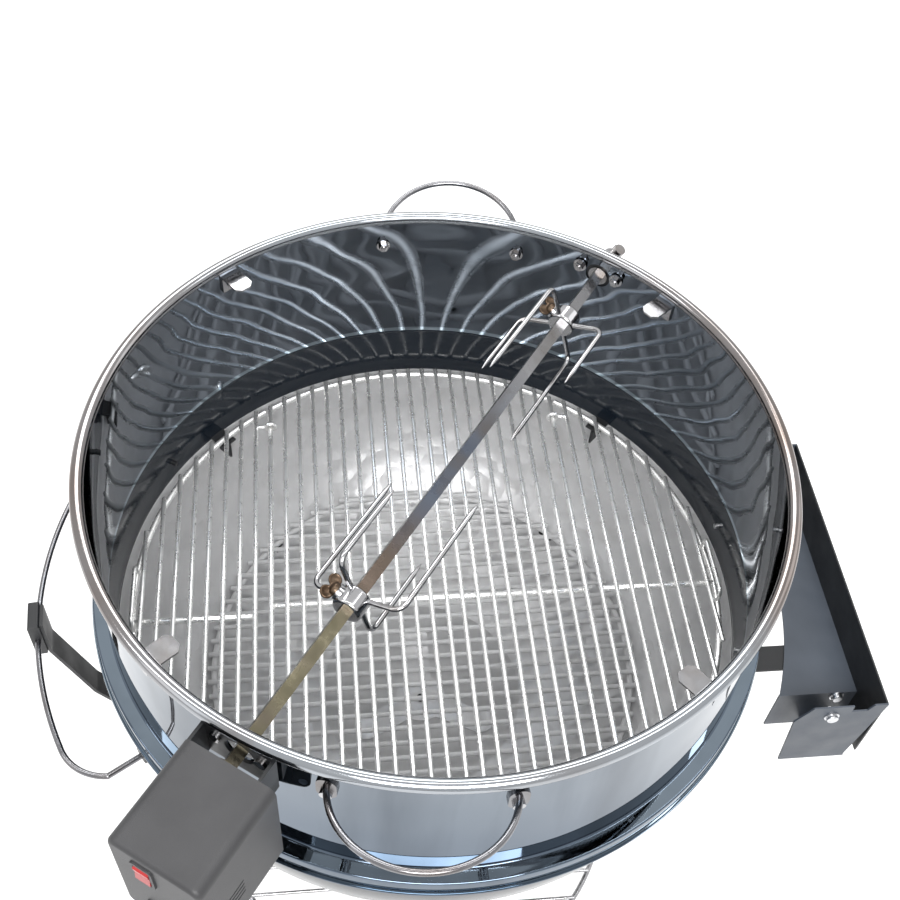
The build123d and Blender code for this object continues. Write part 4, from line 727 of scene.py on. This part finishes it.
def cut(piece, outline, origin, x_dir, y_dir, low, high):
    """Cut a straight-sided hole: the outline swept from low to high along x_dir cross y_dir."""
    z_dir = x_dir.cross(y_dir)
    tool = bpy.data.meshes.new("cutter")
    ends = [[origin + x_dir * x + y_dir * y + z_dir * h for x, y in outline] for h in (low, high)]
    count = len(outline)
    faces = [tuple(reversed(range(count))), tuple(range(count, 2 * count))]
    faces += [(k, (k + 1) % count, count + (k + 1) % count, count + k) for k in range(count)]
    tool.from_pydata([tuple(p) for end in ends for p in end], [], faces)
    cutter = bpy.data.objects.new("cutter", tool)
    bpy.context.scene.collection.objects.link(cutter)
    difference = piece.modifiers.new("cut", "BOOLEAN")
    difference.object = cutter
    difference.solver = "EXACT"
    bpy.context.view_layer.objects.active = piece
    piece.select_set(True)
    bpy.ops.object.modifier_apply(modifier="cut")
    piece.select_set(False)
    bpy.data.objects.remove(cutter)
    bpy.data.meshes.remove(tool)


def circle(radius, steps=48):
    """Outline of a round hole."""
    return [
        (radius * math.cos(TAU * k / steps), radius * math.sin(TAU * k / steps)) for k in range(steps)
    ]


def slot(length, width, steps=10):
    """Outline of a round-ended slot along x."""
    reach = (length - width) / 2
    right = arc((reach, 0), width / 2, -90, 90, steps)
    left = arc((-reach, 0), width / 2, 90, 270, steps)
    return right + left


# ---------------------------------------------------------------- ring and bowl
ring_profile = distinct(
    [(ring_inner, ring_seat), (ring_inner, 0.8435)]
    + arc(bead_centre, bead_radius, 252, -60, 40)
    + arc(bead_centre, bead_radius - bead_sheet, -60, 266, 30)
    + [(ring_outer, 0.7035)]
    + arc((ring_outer + ring_step_fillet, 0.7035), ring_step_fillet, 180, 270, 5)
    + arc((0.2955, 0.7000), skirt_outer - 0.2955, 90, 0, 5)
    + [(skirt_outer, skirt_low)]
    + arc((0.2985, skirt_low), 0.0009, 180, 90, 3)
    + [(0.2994, 0.6859), (0.2995, 0.6846)]
    + arc((0.2975, 0.6852), 0.0018, 270, 200, 4)
    + [(skirt_inner, ring_seat)]
)


def build_ring():
    """Rotisserie ring with its rolled bead, stepped skirt and the spit's two holes."""
    shell = Shell()
    shell.lathe(ring_profile, fine_facets)
    ring = shell.make("ring_shell", "ring", smoked_ring, ("rotisserie_ring",))
    cut(ring, circle(spit_hole_radius), spit_at, spit_left, UP, -0.31, 0.31)
    turned_normals(ring, ring_profile)


def bowl_curve(offset, low_radius):
    """The bowl's curve moved inwards, from the shoulder down to a distance from the axis."""
    knee = math.degrees(math.atan2(side_centre[1] - bottom_centre_z, side_centre[0]))
    low = -math.degrees(math.acos(low_radius / (bottom_arc - offset)))
    side = arc(side_centre, side_arc - offset, 0, knee, 24)
    bottom = arc((0, bottom_centre_z), bottom_arc - offset, knee, low, 32)
    return side + bottom[1:]


def build_bowl():
    """Enamelled bowl with its rolled lip, three vents and the lever's hole."""
    profile = distinct(
        [(bowl_radius - bowl_wall, lip_centre[1])]
        + arc(lip_centre, lip_radius, 180, -131, 40)[1:]
        + bowl_curve(0, lever_hole)
        + list(reversed(bowl_curve(bowl_wall, lever_hole)))
    )
    shell = Shell()
    shell.lathe(profile, fine_facets)
    bowl = shell.make("bowl_shell", "kettle", finishes["black_enamel"], ("bowl",))
    vent = slot(vent_length, vent_width)
    for azimuth in vent_azimuths:
        out = polar(azimuth, 1, 0)
        origin = out * vent_reach + UP * vent_height
        cut(bowl, vent, origin, out, UP.cross(out), -0.02, 0.06)
    turned_normals(bowl, profile)


def build_liner():
    """Foil-bright liner lying just inside the bowl."""
    faces = []
    for offset in (liner_gap, liner_gap + liner_sheet):
        top = side_centre[0] + chord(side_arc - offset, side_centre[1] - liner_top)
        curve = [p for p in bowl_curve(offset, liner_hole) if p[1] < liner_top - 0.0005]
        faces.append([(top, liner_top)] + curve)
    outer, inner = faces
    profile = distinct(outer + list(reversed(inner)))
    shell = Shell()
    shell.lathe(profile, liner_facets)
    liner = shell.make("liner_shell", "kettle", finishes["aluminium"], ("drip_liner",))


# ---------------------------------------------------------------- wire goods
def round_bar(shell, start, end, radius, sides=18):
    """Straight wire with softly cropped ends."""
    start, end = Vector(start), Vector(end)
    edge = (end - start).normalized() * radius * 0.3
    shell.tube(
        [start, start + edge, end - edge, end],
        radius,
        sides,
        taper=lambda t: 0.78 if t in (0, 1) else 1,
    )


def rim_piece(shell, start, sweep, radius, height, wire, steps=90):
    """Stretch of a round rim, cropped at its ends."""
    path = [polar(start + sweep * k / steps, radius, height) for k in range(steps + 1)]
    shell.tube(path, wire, 18)


def build_grates():
    """Cooking grate: the middle, and two flaps that hinge on its outermost bars."""
    hinge_x = hinge_bar * bar_pitch
    centre_edge = math.degrees(math.asin((hinge_x + hinge_wire / 2) / rim_radius))
    flap_edge = math.degrees(math.asin((hinge_x + hinge_gap) / rim_radius))
    shell = Shell()
    for k in range(1 - hinge_bar, hinge_bar):
        reach = chord(grate_radius, k * bar_pitch)
        round_bar(shell, (k * bar_pitch, -reach, bar_z), (k * bar_pitch, reach, bar_z), bar_wire)
    for side in (-1, 1):
        reach = chord(rim_radius, hinge_x)
        x = side * hinge_x
        round_bar(shell, (x, -reach, bar_z), (x, reach, bar_z), hinge_wire)
        rim_piece(shell, side * 90 - centre_edge, 2 * centre_edge, rim_radius, rim_z, rim_wire)
    round_bar(shell, (-hinge_x, cross_low, rim_z), (hinge_x, cross_low, rim_z), rim_wire)
    centre_piece = shell.make(
        "grate_middle", "kettle", finishes["grate_wire"], ("cooking_grate_centre",)
    )
    for side, name, cross_y in ((-1, "left", cross_left), (1, "right", cross_right)):
        shell = Shell()
        middle = 0 if side > 0 else 180
        for k in range(hinge_bar + 1, last_bar + 1):
            x = side * k * bar_pitch
            reach = chord(grate_radius, x)
            round_bar(shell, (x, -reach, bar_z), (x, reach, bar_z), bar_wire)
        rim_piece(shell, middle - 90 + flap_edge, 180 - 2 * flap_edge, rim_radius, rim_z, rim_wire)
        first = side * (hinge_bar + 1) * bar_pitch
        far = side * chord(rim_radius, cross_y)
        round_bar(shell, (first, cross_y, rim_z), (far, cross_y, rim_z), rim_wire)
        for y in (-hinge_loop_y, hinge_loop_y):
            hinge = side * hinge_x
            loop = [
                Vector((hinge, y, bar_z))
                + Vector((math.cos(a), 0, math.sin(a))) * hinge_loop_radius
                for a in (TAU * k / 28 for k in range(28))
            ]
            shell.tube(loop, small_wire, 12, closed=True)
            start = hinge + side * hinge_loop_radius
            round_bar(shell, (start, y, bar_z), (first, y, bar_z), small_wire)
        ends = [polar(middle + turn * lift_half_angle, rim_radius, rim_z) for turn in (-1, 1)]
        lift = UP * lift_height
        loop = rounded_path([ends[0], ends[0] + lift, ends[1] + lift, ends[1]], 0.006)
        shell.tube(loop, small_wire, 14)
        flap = shell.make(
            f"grate_flap_{name}_wires", f"flap_{name}", finishes["grate_wire"], (f"grate_flap_{name}",)
        )


def build_charcoal_grate():
    """Charcoal grate low in the bowl: bars over one ring."""
    shell = Shell()
    for k in range(-charcoal_bars, charcoal_bars + 1):
        y = k * charcoal_pitch
        reach = chord(charcoal_reach, y)
        round_bar(shell, (-reach, y, charcoal_z), (reach, y, charcoal_z), hinge_wire)
    ring = [polar(360 * k / 120, charcoal_radius, charcoal_z - 0.0051) for k in range(120)]
    shell.tube(ring, rim_wire, 16, closed=True)
    grate = shell.make("charcoal_wires", "kettle", ash_steel, ("charcoal_grate",))


# ---------------------------------------------------------------- forks
def build_fork(name, centre, facing):
    """Four bent and pointed prongs: two long ones and two short ones, crosswise."""
    z = spit_out * facing
    origin, x, y = spit_at + spit_out * centre, bar_x, z.cross(bar_x)
    point_shares = (0.25, 0.5, 0.75, 0.9, 1.0)
    point_widths = [0.86, 0.66, 0.44, 0.28, 0.14]
    shell = Shell()
    for angle, length in (
        (-45, prong_long),
        (135, prong_long),
        (45, prong_short),
        (225, prong_short),
    ):
        out = x * math.cos(math.radians(angle)) + y * math.sin(math.radians(angle))
        shoulder = prong_setback + length - prong_point
        corners = [
            origin + out * prong_root + z * prong_setback,
            origin + out * prong_radius + z * prong_setback,
            origin + out * prong_radius + z * shoulder,
        ]
        path = rounded_path(corners, prong_bend, 10)
        path += [path[-1] + z * prong_point * share for share in point_shares]
        widths = [1.0] * (len(path) - len(point_shares)) + point_widths
        last = len(path) - 1

        def width(t, widths=widths, last=last):
            return widths[round(t * last)]

        shell.tube(path, prong_wire, 16, taper=width)
    prongs = shell.make(
        f"fork_{name}_wires", f"fork_{name}", finishes["chrome"], (f"fork_{name}_prongs",)
    )
    build_thumbscrew(name, origin, x, y, z)


def turned(shell, origin, axis, profile, around=32):
    """Closed or capped outline of (radius, height) turned about any axis."""
    side = axis.orthogonal().normalized()
    other = axis.cross(side)
    rows = [
        [
            origin + axis * h + (side * math.cos(a) + other * math.sin(a)) * r
            for a in (TAU * k / around for k in range(around))
        ]
        for r, h in profile
    ]
    shell.grid(rows, caps=True)


def build_thumbscrew(name, origin, x, y, z):
    """Two round wings on a collar, and the threaded shank."""
    shell = Shell()
    shank = [(0.0022, screw_start)]
    height = screw_start + 0.00055
    while height < screw_seat:
        shank += [(thread_radius, height), (thread_root, height + thread_pitch / 2)]
        height += thread_pitch
    shank += [(thread_radius, screw_seat), (collar_radius, screw_seat)]
    shank += [(collar_radius, screw_seat + 0.003), (0.0050, screw_seat + 0.004)]
    shank += [(0.0020, screw_seat + 0.0055)]
    turned(shell, origin, x, shank)
    wings_at = origin + x * (screw_seat + wing_radius)
    edge = wing_radius - 0.0012
    bulge = [
        (edge + 0.0012 * math.sin(a), wing_sheet / 2 - wing_sheet / 2 * math.cos(a))
        for a in (math.pi * k / 8 for k in range(9))
    ]
    wing = [(0.0002, 0.0005), (edge - 0.001, 0.0006)]
    wing += bulge + [(edge - 0.001, 0.0020), (0.0002, 0.0021)]
    for side in (-1, 1):
        turned(shell, wings_at + z * (wing_offset * side) - y * (wing_sheet / 2), y, wing)
    web = [wings_at + z * (0.5 * wing_offset * side) for side in (-1, 1)]
    shell.tube(straight(*web), web_radius, 16)
    screw = shell.make(f"thumbscrew_{name}", f"screw_{name}", heated, (f"fork_{name}_screw",))


# ---------------------------------------------------------------- tyres
def build_tyre(name):
    """Tyre with a block tread and rounded shoulders."""
    low, high = (Vector(corner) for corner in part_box(f"wheel_{name}_tyre"))
    middle = (low + high) / 2
    half = tyre_width / 2
    flat = half - tyre_shoulder
    lift = tyre_radius - tyre_shoulder
    near = [
        (lift + tyre_shoulder * math.sin(a), -flat - tyre_shoulder * math.cos(a))
        for a in (math.pi / 2 * k / 6 for k in range(1, 7))
    ]
    tread = [(tyre_radius, -flat + 2 * flat * k / 14) for k in range(1, 14)]
    far = [
        (lift + tyre_shoulder * math.cos(a), flat + tyre_shoulder * math.sin(a))
        for a in (math.pi / 2 * k / 6 for k in range(7))
    ]
    section = (
        [(tyre_inner, -half + 0.001), (tyre_inner + 0.003, -half), (lift, -half)]
        + near
        + tread
        + far
        + [(tyre_inner + 0.003, half), (tyre_inner, half - 0.001)]
    )
    steps = tread_blocks * 12
    rows = []
    for k in range(steps):
        angle = TAU * k / steps
        row = []
        for r, h in section:
            phase = (k / 12 + (0.5 if h > 0 else 0) + 0.25 * abs(h) / half) % 1
            groove = r > tyre_radius - 0.0035 and (phase < 0.2 or abs(h) < 0.0012)
            reach = r - tread_depth if groove else r
            row.append(middle + Vector((h, reach * math.cos(angle), reach * math.sin(angle))))
        rows.append(row)
    shell = Shell()
    shell.grid(rows, closed_rows=True)
    tyre = shell.make(f"tyre_{name}", f"wheel_{name}", finishes["tyre"], (f"wheel_{name}_tyre",))


# ---------------------------------------------------------------- CAD pieces kept as they are
slot_of = {entry["node"]: entry["material_slot"] for entry in frame["record"]["subparts"]}
special = {"ring_handles": dark_wire, "lid_holder_wire": dark_wire, "bottom_rack": rack_wire}
for node, cad in frame["nodes"].items():
    cad.data.materials.clear()
    cad.data.materials.append(special.get(node, finishes[slot_of[node]]))
    cad.data.polygons.foreach_set("use_smooth", [True] * len(cad.data.polygons))
    cad.data.set_sharp_from_angle(angle=math.radians(30))

build_ring()
build_bowl()
build_liner()
build_grates()
build_charcoal_grate()
for fork_name, (fork_centre, fork_facing) in fork_centres.items():
    build_fork(fork_name, fork_centre, fork_facing)
for wheel_name in ("left", "right"):
    build_tyre(wheel_name)
